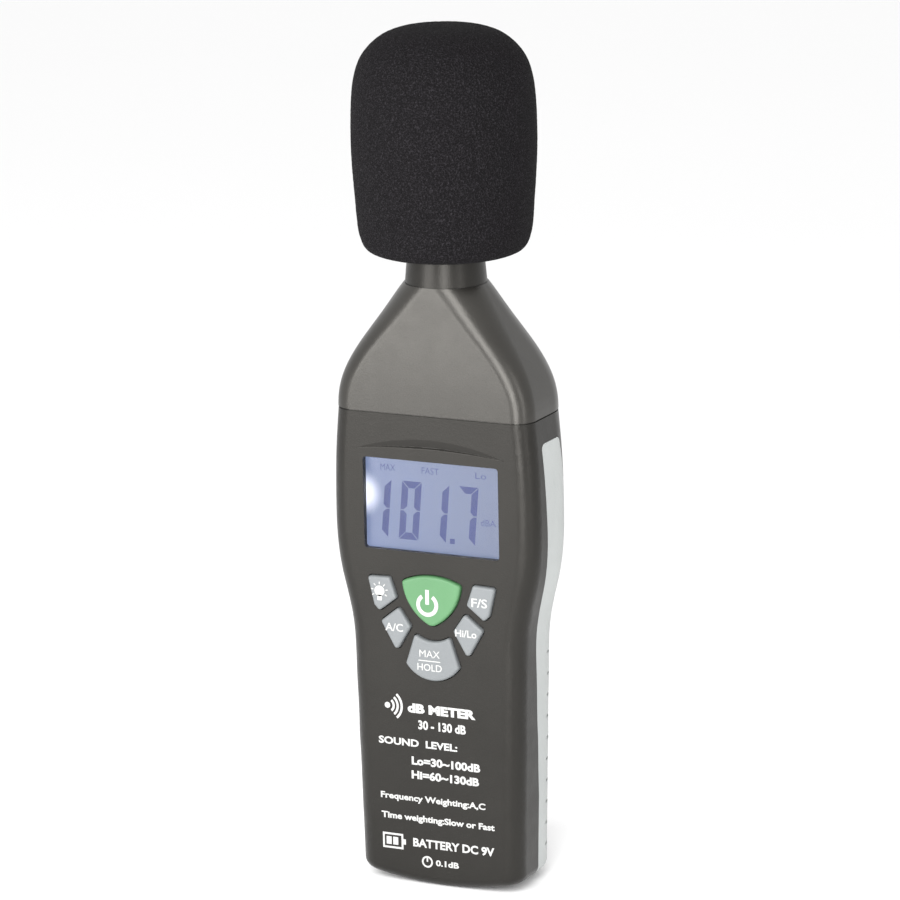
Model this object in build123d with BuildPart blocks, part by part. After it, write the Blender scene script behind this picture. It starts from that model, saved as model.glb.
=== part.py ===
# Hand-held sound level meter: two-part case with rubber side grips, tapering head, 1/2 inch
# microphone under a foam windscreen, display with light guide, six keys, 9 V battery behind a door.
# Millimetres. The microphone axis is the Z axis, the display looks along -Y, the base stands on Z = 0.
from build123d import *
import os

os.makedirs("parts", exist_ok=True)

# ---- overall sizes -------------------------------------------------------------------------------
seam_z = 119.4                # joint between the case and the head cover
neck_z = 151.0                # joint between the head cover and the neck collar
windscreen_base_z = 157.9
windscreen_top_z = 213.6
windscreen_radius = 22.5
waist_half_width = 22.3       # case half width over the handle
shoulder_half_width = 27.5    # case half width beside the display
base_front_depth = 9.6        # front face to the microphone axis, at the base
seam_front_depth = 11.0       # the same at the head seam: the front face leans forward
rear_depth = 17.0             # rear face to the microphone axis
front_edge_radius = 5.0
rear_edge_radius = 12.5
base_arc_rise = 5.5           # rise of the curved base 30 mm away from the middle
base_edge_radius = 2.6
wall = 2.2
cavity_front_depth = 8.0      # flat inner face that carries the display and the keys

# ---- fits ----------------------------------------------------------------------------------------
key_clearance = 0.25
door_clearance = 0.2
grip_clearance = 0.12
spigot_clearance = 0.15
running_clearance = 0.05
seat_gap = 0.1

# ---- display -------------------------------------------------------------------------------------
view_half_width = 18.1
view_bottom_z = 85.3
view_top_z = 108.2
window_thickness = 1.0
window_rabbet_depth = 1.2        # how far the display is let into the front wall
window_margin = 1.1
glass_thickness = 2.0
guide_thickness = 2.0
frame_half_width = 19.3
frame_bottom_z = 82.6
frame_top_z = 110.8

# ---- circuit boards ------------------------------------------------------------------------------
board_front_depth = 2.4       # front face of the main board to the microphone axis
board_thickness = 1.6
board_half_width = 19.0
board_bottom_z = 58.2
board_top_z = 115.4
board_screw_positions = [(-16.6, 113.3), (16.6, 113.3), (-17.2, 60.6), (17.2, 60.6)]
preamp_half_width = 12.0
preamp_bottom_z = 122.5

# ---- keys ----------------------------------------------------------------------------------------
key_height = 1.1              # how far a key stands out of the front face
key_edge_radius = 0.7
key_flange_overlap = 0.6
key_flange_thickness = 1.0
key_travel = 0.8
plunger_radius = 1.6
dome_radius = 2.0
dome_height = 0.4
dome_sheet_thickness = 0.25

# ---- battery -------------------------------------------------------------------------------------
battery_width = 26.5
battery_depth = 17.5
battery_length = 48.5
battery_front_depth = 3.7
battery_bottom_z = 3.9
terminal_height = 2.5
snap_thickness = 2.3
tray_wall = 0.8
door_bottom_z = 6.0
door_top_z = 62.6
door_screw_z = 60.4

# ---- fixings -------------------------------------------------------------------------------------
case_screw_positions = [(-21.6, 104.0), (21.6, 104.0), (-16.6, 10.0), (16.6, 10.0)]
post_radius = 2.1
screw_radius = 1.0
screw_head_radius = 2.2
screw_seat_y = 5.0
tripod_z = 75.0
tripod_bore_radius = 2.55     # minor radius of a 1/4-20 thread
tripod_insert_radius = 4.2
tripod_insert_length = 8.0
trimmer_position = (12.0, 103.5)

# ---- microphone ----------------------------------------------------------------------------------
tube_radius = 6.6
tube_bore_radius = 5.9
tube_bottom_z = 140.0
tube_top_z = 181.0
grid_top_z = 187.0
collar_base_radius = 10.0
collar_top_radius = 9.4
collar_top_z = 157.6

# The case outline is lofted through evenly spaced sections, from below the base to above the head joint.
case_section_bottom_z = -8.0
case_section_step = 8.0
case_section_count = 18
handle_flare = 0.0225         # widening of the handle per millimetre of height
swell_bottom_z = 59.0         # where the handle starts to swell towards the display
swell_top_z = 90.0
shoulder_taper = 0.0022       # how fast the outline draws in again above the display

# Half width of the head cover at evenly spaced heights between its two joints.
head_half_widths = [
    shoulder_half_width - 1.25,
    shoulder_half_width - 1.55,
    shoulder_half_width - 2.8,
    shoulder_half_width - 5.0,
    shoulder_half_width - 7.9,
    shoulder_half_width - 11.1,
    shoulder_half_width - 14.2,
    collar_base_radius + 0.15,
]


def front_depth(z):
    """Distance from the microphone axis to the leaning front face at height z."""
    return base_front_depth + (seam_front_depth - base_front_depth) * z / seam_z


def case_half_width(z):
    """Half width of the case at height z: slim handle, smooth swell, drawn in towards the head."""
    handle = waist_half_width - 0.55 + handle_flare * z
    swell = shoulder_half_width - (waist_half_width - 0.55 + handle_flare * 93)
    share = min(max((z - swell_bottom_z) / (swell_top_z - swell_bottom_z), 0.0), 1.0)
    smooth = share ** 3 * (share * (6 * share - 15) + 10)
    return handle + swell * smooth - shoulder_taper * max(z - swell_top_z, 0.0) ** 2


def d_section(z, half_width, front, rear, front_radius, rear_radius):
    """Closed cross-section with two front and two rear corner radii at height z."""
    with BuildSketch(Plane.XY.offset(z)) as section:
        with Locations((0, (rear - front) / 2)):
            Rectangle(2 * half_width, front + rear)
        fillet(section.vertices().group_by(Axis.Y)[0], front_radius)
        fillet(section.vertices().group_by(Axis.Y)[-1], rear_radius)
    return section.sketch


def case_form(inset, front=None):
    """Outer form of the case shrunk by inset; front replaces the leaning front face by a flat one."""
    sections = []
    for index in range(case_section_count):
        z = case_section_bottom_z + index * case_section_step
        half_width = case_half_width(z)
        depth = front_depth(z) - inset if front is None else front
        sections.append(
            d_section(
                z,
                half_width - inset,
                depth,
                rear_depth - inset,
                max(front_edge_radius - inset, 1.0),
                rear_edge_radius - inset,
            )
        )
    with BuildPart() as form:
        loft(sections=sections)
        with BuildSketch(Plane.XZ):
            with BuildLine():
                ThreePointArc((-30, base_arc_rise + inset), (0, inset), (30, base_arc_rise + inset))
                Line((30, base_arc_rise + inset), (30, 121))
                Line((30, 121), (-30, 121))
                Line((-30, 121), (-30, base_arc_rise + inset))
            make_face()
        extrude(amount=40, both=True, mode=Mode.INTERSECT)
    return form.part


def head_form(inset, bottom_z):
    """Outer form of the head cover shrunk by inset, from bottom_z up to the neck."""
    sections = []
    step = (neck_z - seam_z) / (len(head_half_widths) - 1)
    for index, half_width in enumerate(head_half_widths):
        z = seam_z + index * step
        span = (head_half_widths[0] - half_width) / (head_half_widths[0] - head_half_widths[-1])
        end_radius = collar_base_radius - 0.3
        sections.append(
            d_section(
                z,
                half_width - inset,
                seam_front_depth + (collar_base_radius + 0.15 - seam_front_depth) * span - inset,
                rear_depth + (collar_base_radius + 0.15 - rear_depth) * span - inset,
                front_edge_radius + (end_radius - front_edge_radius) * span - inset,
                rear_edge_radius + (end_radius - rear_edge_radius) * span - inset,
            )
        )
    with BuildPart() as form:
        loft(sections=sections)
        with BuildSketch(Plane.XY.offset(bottom_z)):
            Rectangle(80, 80)
        extrude(amount=60, mode=Mode.INTERSECT)
    return form.part


def parting_zone(front_side):
    """Everything in front of (or behind) the leaning joint between the two case halves."""
    far = -30 if front_side else 30
    with BuildPart() as zone:
        with BuildSketch(Plane.YZ):
            with BuildLine():
                Polyline((far, -6), (2.0, -6), (2.0, 23), (-4.6, seam_z), (far, seam_z), (far, -6))
            make_face()
        extrude(amount=40, both=True)
    return zone.part


def rod(x, z, y_from, y_to, radius):
    """Round bar along Y from y_from to y_to."""
    with BuildPart() as bar:
        with BuildSketch(Plane.XZ.offset(-y_from)):
            with Locations((x, z)):
                Circle(radius)
        extrude(amount=y_from - y_to)
    return bar.part


def block(x_min, x_max, y_min, y_max, z_min, z_max):
    """Straight block between the given coordinates."""
    with BuildPart() as body:
        with Locations(((x_min + x_max) / 2, (y_min + y_max) / 2, (z_min + z_max) / 2)):
            Box(x_max - x_min, y_max - y_min, z_max - z_min)
    return body.part


def disc_z(radius, z_min, z_max):
    """Round disc on the microphone axis."""
    with BuildPart() as body:
        with BuildSketch(Plane.XY.offset(z_min)):
            Circle(radius)
        extrude(amount=z_max - z_min)
    return body.part


# ---- key outlines, seen from the front: X to the right, Z up --------------------------------------
def power_outline(grow=0.0):
    """Shield with a convex top edge and bulging sides, larger all round by grow."""
    left = (-7.9 - grow, 78.0 + grow / 2)
    right = (7.9 + grow, 78.0 + grow / 2)
    tip = (0, 67.0 - 1.3 * grow)
    with BuildSketch() as face:
        with BuildLine():
            ThreePointArc(left, (0, 79.8 + grow), right)
            ThreePointArc(right, (5.5 + 0.86 * grow, 71.4 - grow / 2), tip)
            ThreePointArc(tip, (-5.5 - 0.86 * grow, 71.4 - grow / 2), left)
        make_face()
        fillet(face.vertices().group_by(Axis.Y)[0], 2.2 + grow)
        fillet(face.vertices().group_by(Axis.Y)[-1], 0.9 + grow)
    return face.sketch


def corner_outline(side, grow=0.0):
    """Four-cornered upper key, larger all round by grow; side is -1 on the left and 1 on the right."""
    with BuildSketch() as face:
        with BuildLine():
            Polyline(
                (side * 17.2, 78.4), (side * 11.2, 78.6), (side * 9.4, 73.4),
                (side * 14.1, 69.8), (side * 15.5, 71.2), (side * 17.2, 78.4),
            )
        make_face()
        fillet(face.vertices(), 0.7)
        if grow > 0:
            offset(amount=grow)
    return face.sketch


def diamond_outline(side, grow=0.0):
    """Kite-shaped lower key, larger all round by grow; side is -1 on the left and 1 on the right."""
    with BuildSketch() as face:
        with BuildLine():
            Polyline(
                (side * 8.9, 71.2), (side * 13.8, 67.3), (side * 9.6, 59.9),
                (side * 5.7, 66.5), (side * 8.9, 71.2),
            )
        make_face()
        fillet(face.vertices(), 0.8)
        if grow > 0:
            offset(amount=grow)
    return face.sketch


def fan_outline(grow=0.0):
    """Fan-shaped key with a concave top edge and a convex bottom edge, larger all round by grow."""
    with BuildSketch() as face:
        with BuildLine():
            ThreePointArc((-4.7, 64.9), (0, 63.3), (4.7, 64.9))
            Line((4.7, 64.9), (7.2, 57.2))
            ThreePointArc((7.2, 57.2), (0, 53.3), (-7.2, 57.2))
            Line((-7.2, 57.2), (-4.7, 64.9))
        make_face()
        fillet(face.vertices(), 0.7)
        if grow > 0:
            offset(amount=grow)
    return face.sketch


def key_outline(name, grow=0.0):
    """Outline of the named key, larger all round by grow."""
    if name == "key_power":
        return power_outline(grow)
    if name == "key_max_hold":
        return fan_outline(grow)
    side = -1 if name in ("key_backlight", "key_weighting") else 1
    if name in ("key_backlight", "key_fast_slow"):
        return corner_outline(side, grow)
    return diamond_outline(side, grow)


plunger_positions = {
    "key_power": (0.0, 73.6),
    "key_backlight": (-13.6, 74.8),
    "key_fast_slow": (13.6, 74.8),
    "key_weighting": (-9.6, 66.4),
    "key_range": (9.6, 66.4),
    "key_max_hold": (0.0, 60.8),
}


def key_body(name):
    """Key cap, retaining flange behind the front wall and plunger above its switch dome."""
    x, z = plunger_positions[name]
    flange_front = cavity_front_depth - seat_gap
    flange_back = flange_front - key_flange_thickness
    plunger_end = board_front_depth + dome_sheet_thickness + dome_height + key_travel + seat_gap
    with BuildPart() as key:
        with BuildSketch(Plane.XZ.offset(flange_back)):
            add(key_outline(name))
        extrude(amount=front_depth(z) + key_height - flange_back)
        fillet(key.faces().sort_by(Axis.Y)[0].edges(), key_edge_radius)
        with BuildSketch(Plane.XZ.offset(flange_back)):
            add(key_outline(name, key_flange_overlap))
        extrude(amount=key_flange_thickness)
        with BuildSketch(Plane.XZ.offset(plunger_end)):
            with Locations((x, z)):
                Circle(plunger_radius)
        extrude(amount=flange_back - plunger_end)
    return key.part


with BuildPart() as outer_case:
    add(case_form(0))
    fillet(outer_case.edges().filter_by_position(Axis.Z, -1, 7), base_edge_radius)
    with BuildSketch(Plane.XY.offset(-1)):
        Rectangle(80, 80)
    extrude(amount=seam_z + 1, mode=Mode.INTERSECT)
outer_form = outer_case.part
cavity_form = case_form(wall, cavity_front_depth)

# ---- front case ----------------------------------------------------------------------------------
with BuildPart() as front_case:
    add(outer_form)
    add(cavity_form, mode=Mode.SUBTRACT)
    for x, z in case_screw_positions:
        add(rod(x, z, -cavity_front_depth - 0.4, 6, post_radius))
    for x, z in board_screw_positions:
        add(rod(x, z, -cavity_front_depth - 0.4, -board_front_depth, 1.9))
    add(parting_zone(True), mode=Mode.INTERSECT)
    # Display opening with bevelled edges.
    with BuildSketch(Plane.XZ.offset(cavity_front_depth - 1)):
        with Locations((0, (view_bottom_z + view_top_z) / 2)):
            RectangleRounded(2 * view_half_width, view_top_z - view_bottom_z, 0.8)
    extrude(amount=6, mode=Mode.SUBTRACT)
    # Rabbet that takes the window and the front of the display frame.
    add(
        block(
            -frame_half_width - 0.15, frame_half_width + 0.15,
            -cavity_front_depth - window_rabbet_depth, -cavity_front_depth + 0.5,
            frame_bottom_z - 0.15, frame_top_z + 0.15,
        ),
        mode=Mode.SUBTRACT,
    )
    # Arched brow scooped out above the display.
    with BuildSketch(Plane.XZ.offset(front_depth(112) - 0.7)):
        with BuildLine():
            ThreePointArc((-19.8, 110.2), (0, 113.7), (19.8, 110.2))
            ThreePointArc((19.8, 110.2), (0, 111.5), (-19.8, 110.2))
        make_face()
    extrude(amount=3, mode=Mode.SUBTRACT)
    for name in plunger_positions:
        with BuildSketch(Plane.XZ.offset(cavity_front_depth - 1)):
            add(key_outline(name, key_clearance))
        extrude(amount=6, mode=Mode.SUBTRACT)
    for x, z in case_screw_positions:
        add(rod(x, z, -6.6, 7, screw_radius), mode=Mode.SUBTRACT)
    for x, z in board_screw_positions:
        add(rod(x, z, -6.8, 0, 0.8), mode=Mode.SUBTRACT)
front_case.part.label = "front_case"
export_step(front_case.part, "parts/front_case.step")

# ---- rear case, with side pockets for the grips ---------------------------------------------------
def grip_zone(grow):
    """Side region taken by the grips: front edge on the case joint, level top end."""
    with BuildPart() as zone:
        with BuildSketch(Plane.YZ) as side_view:
            with BuildLine():
                Polyline(
                    (2.0, -6), (2.0, 23), (-4.19, 113.4), (6.2, 113.4),
                    (11.6, 92), (11.6, -6), (2.0, -6),
                )
            make_face()
            fillet(side_view.vertices().group_by(Axis.Y)[-1], 1.6)
            if grow > 0:
                offset(amount=grow)
        extrude(amount=40, both=True)
        add(block(-18.8 + grow, 18.8 - grow, -40, 40, -10, 130), mode=Mode.SUBTRACT)
    return zone.part


grip_thickness = 1.5
grip_floor_form = case_form(grip_thickness)

tray_front = -battery_front_depth - 0.3
tray_inner = battery_width / 2 + 0.2
tray_outer = tray_inner + tray_wall


def grip_pocket():
    """Recess of both grips in the rear case."""
    with BuildPart() as pocket:
        add(grip_zone(grip_clearance))
        add(grip_floor_form, mode=Mode.SUBTRACT)
    return pocket.part


def door_prism(clearance):
    """Rounded prism of the battery door, smaller all round by clearance."""
    with BuildPart() as prism:
        with BuildSketch(Plane.XZ.offset(-(rear_depth - wall - 4.2))):
            with Locations((0, (door_bottom_z + door_top_z) / 2)):
                RectangleRounded(
                    2 * (tray_inner - clearance), door_top_z - door_bottom_z - 2 * clearance, 1.5 - clearance
                )
        extrude(amount=-12)
    return prism.part


def door_opening():
    """Opening of the battery door through the rear wall."""
    with BuildPart() as opening:
        add(door_prism(0))
        add(cavity_form, mode=Mode.SUBTRACT)
    return opening.part


with BuildPart() as rear_case:
    add(outer_form)
    add(cavity_form, mode=Mode.SUBTRACT)
    # Columns for the case screws, slimmer beside the display frame and the board.
    for x, z in case_screw_positions:
        add(rod(x, z, -6, 13.5, post_radius))
        add(rod(x, z, 0, 13.5, post_radius + 1.0))
    add(parting_zone(False), mode=Mode.INTERSECT)
    add(outer_form, mode=Mode.INTERSECT)
    add(grip_pocket(), mode=Mode.SUBTRACT)
    # Battery tray: front wall, side walls and the boss for the door screw.
    add(block(-tray_outer, tray_outer, tray_front - 1.2, tray_front, 3.4, 56.0))
    add(block(-tray_outer, -tray_inner, tray_front, 14.4, 3.4, 56.0))
    add(block(tray_inner, tray_outer, tray_front, 14.4, 3.4, 56.0))
    add(block(-5, 5, 8, rear_depth - wall - 0.05, 58.6, 66.0))
    add(block(-5, 5, 8, rear_depth - wall + 0.7, door_top_z, 66.0))
    # Boss of the tripod insert.
    add(rod(0, tripod_z, rear_depth - tripod_insert_length - 1.2, rear_depth - wall + 0.5, 6.4))
    # Battery door opening.
    add(door_opening(), mode=Mode.SUBTRACT)
    # Bores: case screws with counterbored heads, door screw, tripod insert, trimmer access.
    for x, z in case_screw_positions:
        add(rod(x, z, -7, screw_seat_y + 1, screw_radius + 0.25), mode=Mode.SUBTRACT)
        add(rod(x, z, screw_seat_y, 20, screw_head_radius + 0.3), mode=Mode.SUBTRACT)
    add(rod(0, door_screw_z, 7, 16, 1.35), mode=Mode.SUBTRACT)
    add(rod(0, tripod_z, rear_depth - tripod_insert_length, 20, tripod_insert_radius), mode=Mode.SUBTRACT)
    add(rod(trimmer_position[0], trimmer_position[1], 10, 20, 2.0), mode=Mode.SUBTRACT)
rear_case.part.label = "rear_case"
export_step(rear_case.part, "parts/rear_case.step")

# ---- grips ---------------------------------------------------------------------------------------
groove_floor_form = case_form(0.4)
grip_groove_count = 10
grip_groove_bottom_z = 9.0
grip_groove_pitch = 5.5
grip_groove_front_y = 6.5


def grip_grooves():
    """Cross grooves cut from the outside down to the groove floor."""
    with BuildPart() as grooves:
        for index in range(grip_groove_count):
            z = grip_groove_bottom_z + index * grip_groove_pitch
            add(block(-40, 40, grip_groove_front_y, 20, z - 0.4, z + 0.4))
        add(groove_floor_form, mode=Mode.SUBTRACT)
    return grooves.part


def grip_body(side):
    """Rubber grip with cross ribs on its rear half; side is -1 on the left and 1 on the right."""
    with BuildPart() as grip:
        add(outer_form)
        add(grip_zone(0), mode=Mode.INTERSECT)
        add(grip_floor_form, mode=Mode.SUBTRACT)
        add(block(min(0, side * 40), max(0, side * 40), -20, 20, -5, 125), mode=Mode.INTERSECT)
        add(grip_grooves(), mode=Mode.SUBTRACT)
    return grip.part


with BuildPart() as grip_left:
    add(grip_body(-1))
grip_left.part.label = "grip_left"
export_step(grip_left.part, "parts/grip_left.step")

with BuildPart() as grip_right:
    add(grip_body(1))
grip_right.part.label = "grip_right"
export_step(grip_right.part, "parts/grip_right.step")

# ---- head cover ----------------------------------------------------------------------------------
def spigot_core():
    """Hollow of the spigot below the head."""
    with BuildPart() as core:
        add(case_form(wall + 1.5, cavity_front_depth - 1.5))
        add(block(-40, 40, -20, 20, 100, seam_z + 2.3), mode=Mode.INTERSECT)
    return core.part


def outside_head():
    """Everything around the head just above the seam, with the shadow groove along it."""
    with BuildPart() as outside:
        add(block(-40, 40, -20, 20, seam_z, seam_z + 2.6))
        add(head_form(0, seam_z), mode=Mode.SUBTRACT)
    with BuildPart() as groove:
        add(block(-40, 40, -20, 20, seam_z, seam_z + seam_groove_height))
        add(head_form(seam_groove_depth, seam_z), mode=Mode.SUBTRACT)
        add(outside.part)
    return groove.part


seam_groove_height = 0.4
seam_groove_depth = 0.45


with BuildPart() as head_cover:
    add(head_form(0, seam_z))
    add(head_form(2.0, seam_z + 2.2), mode=Mode.SUBTRACT)
    # Spigot that plugs into the open top of the case.
    add(case_form(wall + spigot_clearance, cavity_front_depth - spigot_clearance))
    with BuildSketch(Plane.XY.offset(seam_z - 2.8)):
        Rectangle(80, 80)
    extrude(amount=60, mode=Mode.INTERSECT)
    add(spigot_core(), mode=Mode.SUBTRACT)
    add(outside_head(), mode=Mode.SUBTRACT)
    # Opening in the partition for the header between the boards.
    add(block(-10, 10, -5, 8, seam_z + 1, seam_z + 3), mode=Mode.SUBTRACT)
    add(disc_z(8.05, 140, 160), mode=Mode.SUBTRACT)
head_cover.part.label = "head_cover"
export_step(head_cover.part, "parts/head_cover.step")

# ---- neck collar and sealing ring ----------------------------------------------------------------
with BuildPart() as neck_collar:
    with BuildSketch(Plane.XZ):
        with BuildLine():
            Polyline(
                (tube_radius, neck_z - 4), (8.0, neck_z - 4), (8.0, neck_z), (collar_base_radius, neck_z),
                (collar_top_radius, collar_top_z), (8.2, collar_top_z), (8.2, collar_top_z - 1.2),
                (tube_radius, collar_top_z - 1.2), (tube_radius, neck_z - 4),
            )
        make_face()
    revolve(axis=Axis.Z)
    top_circles = neck_collar.edges().filter_by(GeomType.CIRCLE).group_by(Axis.Z)[-1]
    fillet(top_circles.sort_by(SortBy.RADIUS)[-1], 0.5)
neck_collar.part.label = "neck_collar"
export_step(neck_collar.part, "parts/neck_collar.step")

with BuildPart() as sealing_ring:
    with BuildSketch(Plane.XZ):
        with Locations(((tube_radius + 8.2) / 2, collar_top_z - 0.55)):
            Circle(0.65)
    revolve(axis=Axis.Z)
sealing_ring.part.label = "sealing_ring"
export_step(sealing_ring.part, "parts/sealing_ring.step")

# ---- microphone ----------------------------------------------------------------------------------
with BuildPart() as microphone_tube:
    add(disc_z(tube_radius, tube_bottom_z, tube_top_z))
    add(disc_z(tube_bore_radius, tube_bottom_z - 1, tube_top_z + 1), mode=Mode.SUBTRACT)
microphone_tube.part.label = "microphone_tube"
export_step(microphone_tube.part, "parts/microphone_tube.step")

with BuildPart() as microphone_grid:
    add(disc_z(tube_radius, tube_top_z, grid_top_z))
    fillet(microphone_grid.edges().group_by(Axis.Z)[-1], 0.6)
    add(disc_z(tube_bore_radius, tube_top_z - 1, grid_top_z - 0.8), mode=Mode.SUBTRACT)
    with BuildSketch(Plane.XY.offset(grid_top_z - 1)):
        with GridLocations(0, 1.9, 1, 5):
            SlotOverall(7.4, 0.8)
    extrude(amount=3, mode=Mode.SUBTRACT)
microphone_grid.part.label = "microphone_grid"
export_step(microphone_grid.part, "parts/microphone_grid.step")

with BuildPart() as microphone_capsule:
    add(disc_z(tube_bore_radius - running_clearance, tube_top_z - 5, tube_top_z + 3.2))
    add(disc_z(tube_bore_radius - 1.2, tube_top_z + 2.8, tube_top_z + 4), mode=Mode.SUBTRACT)
microphone_capsule.part.label = "microphone_capsule"
export_step(microphone_capsule.part, "parts/microphone_capsule.step")

with BuildPart() as microphone_holder:
    add(disc_z(tube_bore_radius, tube_bottom_z, tube_bottom_z + 6))
    add(disc_z(tube_radius + 0.8, tube_bottom_z - 1.2, tube_bottom_z))
microphone_holder.part.label = "microphone_holder"
export_step(microphone_holder.part, "parts/microphone_holder.step")

# ---- foam windscreen -----------------------------------------------------------------------------
with BuildPart() as windscreen:
    with BuildSketch(Plane.XZ):
        with BuildLine():
            Line((0, grid_top_z + 0.6), (tube_radius + seat_gap, grid_top_z + 0.6))
            Line((tube_radius + seat_gap, grid_top_z + 0.6), (tube_radius + seat_gap, windscreen_base_z))
            Line((tube_radius + seat_gap, windscreen_base_z), (windscreen_radius - 7.5, windscreen_base_z))
            Spline(
                (windscreen_radius - 7.5, windscreen_base_z),
                (windscreen_radius - 3.4, windscreen_base_z + 1.5),
                (windscreen_radius - 1.8, windscreen_base_z + 4.5),
                (windscreen_radius - 0.75, windscreen_base_z + 14),
                (windscreen_radius, windscreen_base_z + 29),
                (windscreen_radius - 0.9, windscreen_top_z - 12.7),
                (windscreen_radius - 3.0, windscreen_top_z - 7.1),
                (windscreen_radius - 7.2, windscreen_top_z - 2.9),
                (windscreen_radius - 11.7, windscreen_top_z - 1.0),
                (windscreen_radius - 17.0, windscreen_top_z - 0.25),
                (0, windscreen_top_z),
            )
            Line((0, windscreen_top_z), (0, grid_top_z + 0.6))
        make_face()
    revolve(axis=Axis.Z)
windscreen.part.label = "windscreen"
export_step(windscreen.part, "parts/windscreen.step")

# ---- display stack -------------------------------------------------------------------------------
window_front_y = -cavity_front_depth - window_rabbet_depth
window_back_y = window_front_y + window_thickness
glass_front_y = window_back_y + seat_gap
glass_back_y = glass_front_y + glass_thickness
guide_front_y = glass_back_y + seat_gap
guide_back_y = guide_front_y + guide_thickness
frame_inner_half_width = frame_half_width - 0.6
frame_back_y = -board_front_depth

with BuildPart() as display_window:
    add(
        block(
            -view_half_width - window_margin, view_half_width + window_margin,
            window_front_y, window_back_y, view_bottom_z - 2.1, view_top_z + 2.0,
        )
    )
display_window.part.label = "display_window"
export_step(display_window.part, "parts/display_window.step")

with BuildPart() as display_glass:
    add(
        block(
            -frame_inner_half_width, frame_inner_half_width, glass_front_y, glass_back_y,
            frame_bottom_z + 0.6, frame_top_z - 0.6,
        )
    )
display_glass.part.label = "display_glass"
export_step(display_glass.part, "parts/display_glass.step")

with BuildPart() as display_frame:
    add(
        block(
            -frame_half_width, frame_half_width, glass_front_y, frame_back_y,
            frame_bottom_z, frame_top_z,
        )
    )
    add(
        block(
            -frame_inner_half_width, frame_inner_half_width, glass_front_y - 1, frame_back_y + 1,
            frame_bottom_z + 0.6, frame_top_z - 0.6,
        ),
        mode=Mode.SUBTRACT,
    )
display_frame.part.label = "display_frame"
export_step(display_frame.part, "parts/display_frame.step")

strip_depth = 1.8
with BuildPart() as connector_strips:
    for z_min in (frame_bottom_z + 0.8, frame_top_z - 0.8 - strip_depth):
        add(block(-16, 16, glass_back_y, frame_back_y, z_min, z_min + strip_depth))
connector_strips.part.label = "connector_strips"
export_step(connector_strips.part, "parts/connector_strips.step")

lamp_z = (view_bottom_z + view_top_z) / 2
with BuildPart() as light_guide:
    add(
        block(
            -frame_inner_half_width + 0.1, frame_inner_half_width - 0.1, guide_front_y, guide_back_y,
            frame_bottom_z + 1.0 + strip_depth, frame_top_z - 1.0 - strip_depth,
        )
    )
    add(
        block(
            -frame_inner_half_width, -frame_inner_half_width + 1.9, guide_front_y - 1, guide_back_y + 1,
            lamp_z - 1.9, lamp_z + 1.9,
        ),
        mode=Mode.SUBTRACT,
    )
light_guide.part.label = "light_guide"
export_step(light_guide.part, "parts/light_guide.step")

with BuildPart() as backlight_lamp:
    add(
        block(
            -frame_inner_half_width + 0.1, -frame_inner_half_width + 1.8, guide_front_y, frame_back_y,
            lamp_z - 1.8, lamp_z + 1.8,
        )
    )
backlight_lamp.part.label = "backlight_lamp"
export_step(backlight_lamp.part, "parts/backlight_lamp.step")

# ---- main board and what it carries ---------------------------------------------------------------
board_rear_y = -board_front_depth + board_thickness
with BuildPart() as main_board:
    add(
        block(
            -board_half_width, board_half_width, -board_front_depth, board_rear_y,
            board_bottom_z, board_top_z,
        )
    )
    fillet(main_board.edges().filter_by(Axis.Y), 1.0)
    for x, z in board_screw_positions:
        add(rod(x, z, -4, 2, 0.8), mode=Mode.SUBTRACT)
main_board.part.label = "main_board"
export_step(main_board.part, "parts/main_board.step")

with BuildPart() as board_screws:
    for x, z in board_screw_positions:
        add(rod(x, z, -6.4, board_rear_y, 0.8))
        add(rod(x, z, board_rear_y, board_rear_y + 1.3, 1.8))
board_screws.part.label = "board_screws"
export_step(board_screws.part, "parts/board_screws.step")

with BuildPart() as board_chips:
    add(block(-6, 6, board_rear_y, board_rear_y + 1.6, 88, 100))
    add(block(-15.5, -9.5, board_rear_y, board_rear_y + 1.5, 78, 87))
    add(block(8, 14, board_rear_y, board_rear_y + 1.5, 80, 85))
    add(block(-15.5, -11.5, board_rear_y, board_rear_y + 1.2, 97, 102))
board_chips.part.label = "board_chips"
export_step(board_chips.part, "parts/board_chips.step")

with BuildPart() as board_capacitors:
    for x, z in ((13.0, 94.0), (13.0, 73.0), (-13.0, 70.0)):
        add(rod(x, z, board_rear_y, board_rear_y + 5.4, 2.5))
board_capacitors.part.label = "board_capacitors"
export_step(board_capacitors.part, "parts/board_capacitors.step")

with BuildPart() as board_passives:
    for row in range(3):
        for column in range(5):
            x = -8 + 4 * column
            z = 76 + 3.6 * row
            if abs(x) < 7.5:
                add(block(x - 0.9, x + 0.9, board_rear_y, board_rear_y + 0.6, z - 0.5, z + 0.5))
board_passives.part.label = "board_passives"
export_step(board_passives.part, "parts/board_passives.step")

with BuildPart() as crystal:
    with BuildSketch(Plane.XZ.offset(-board_rear_y)):
        with Locations((-6, 107.5)):
            SlotOverall(10.6, 4.4)
    extrude(amount=-3.4)
crystal.part.label = "crystal"
export_step(crystal.part, "parts/crystal.step")

trimmer_x, trimmer_z = trimmer_position
rotor_radius = 1.7
with BuildPart() as trimmer_body:
    add(
        block(
            trimmer_x - 3.3, trimmer_x + 3.3, board_rear_y, board_rear_y + 4.4,
            trimmer_z - 3.3, trimmer_z + 3.3,
        )
    )
    add(
        rod(trimmer_x, trimmer_z, board_rear_y + 1.6, board_rear_y + 6, rotor_radius + running_clearance),
        mode=Mode.SUBTRACT,
    )
trimmer_body.part.label = "trimmer_body"
export_step(trimmer_body.part, "parts/trimmer_body.step")

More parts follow.
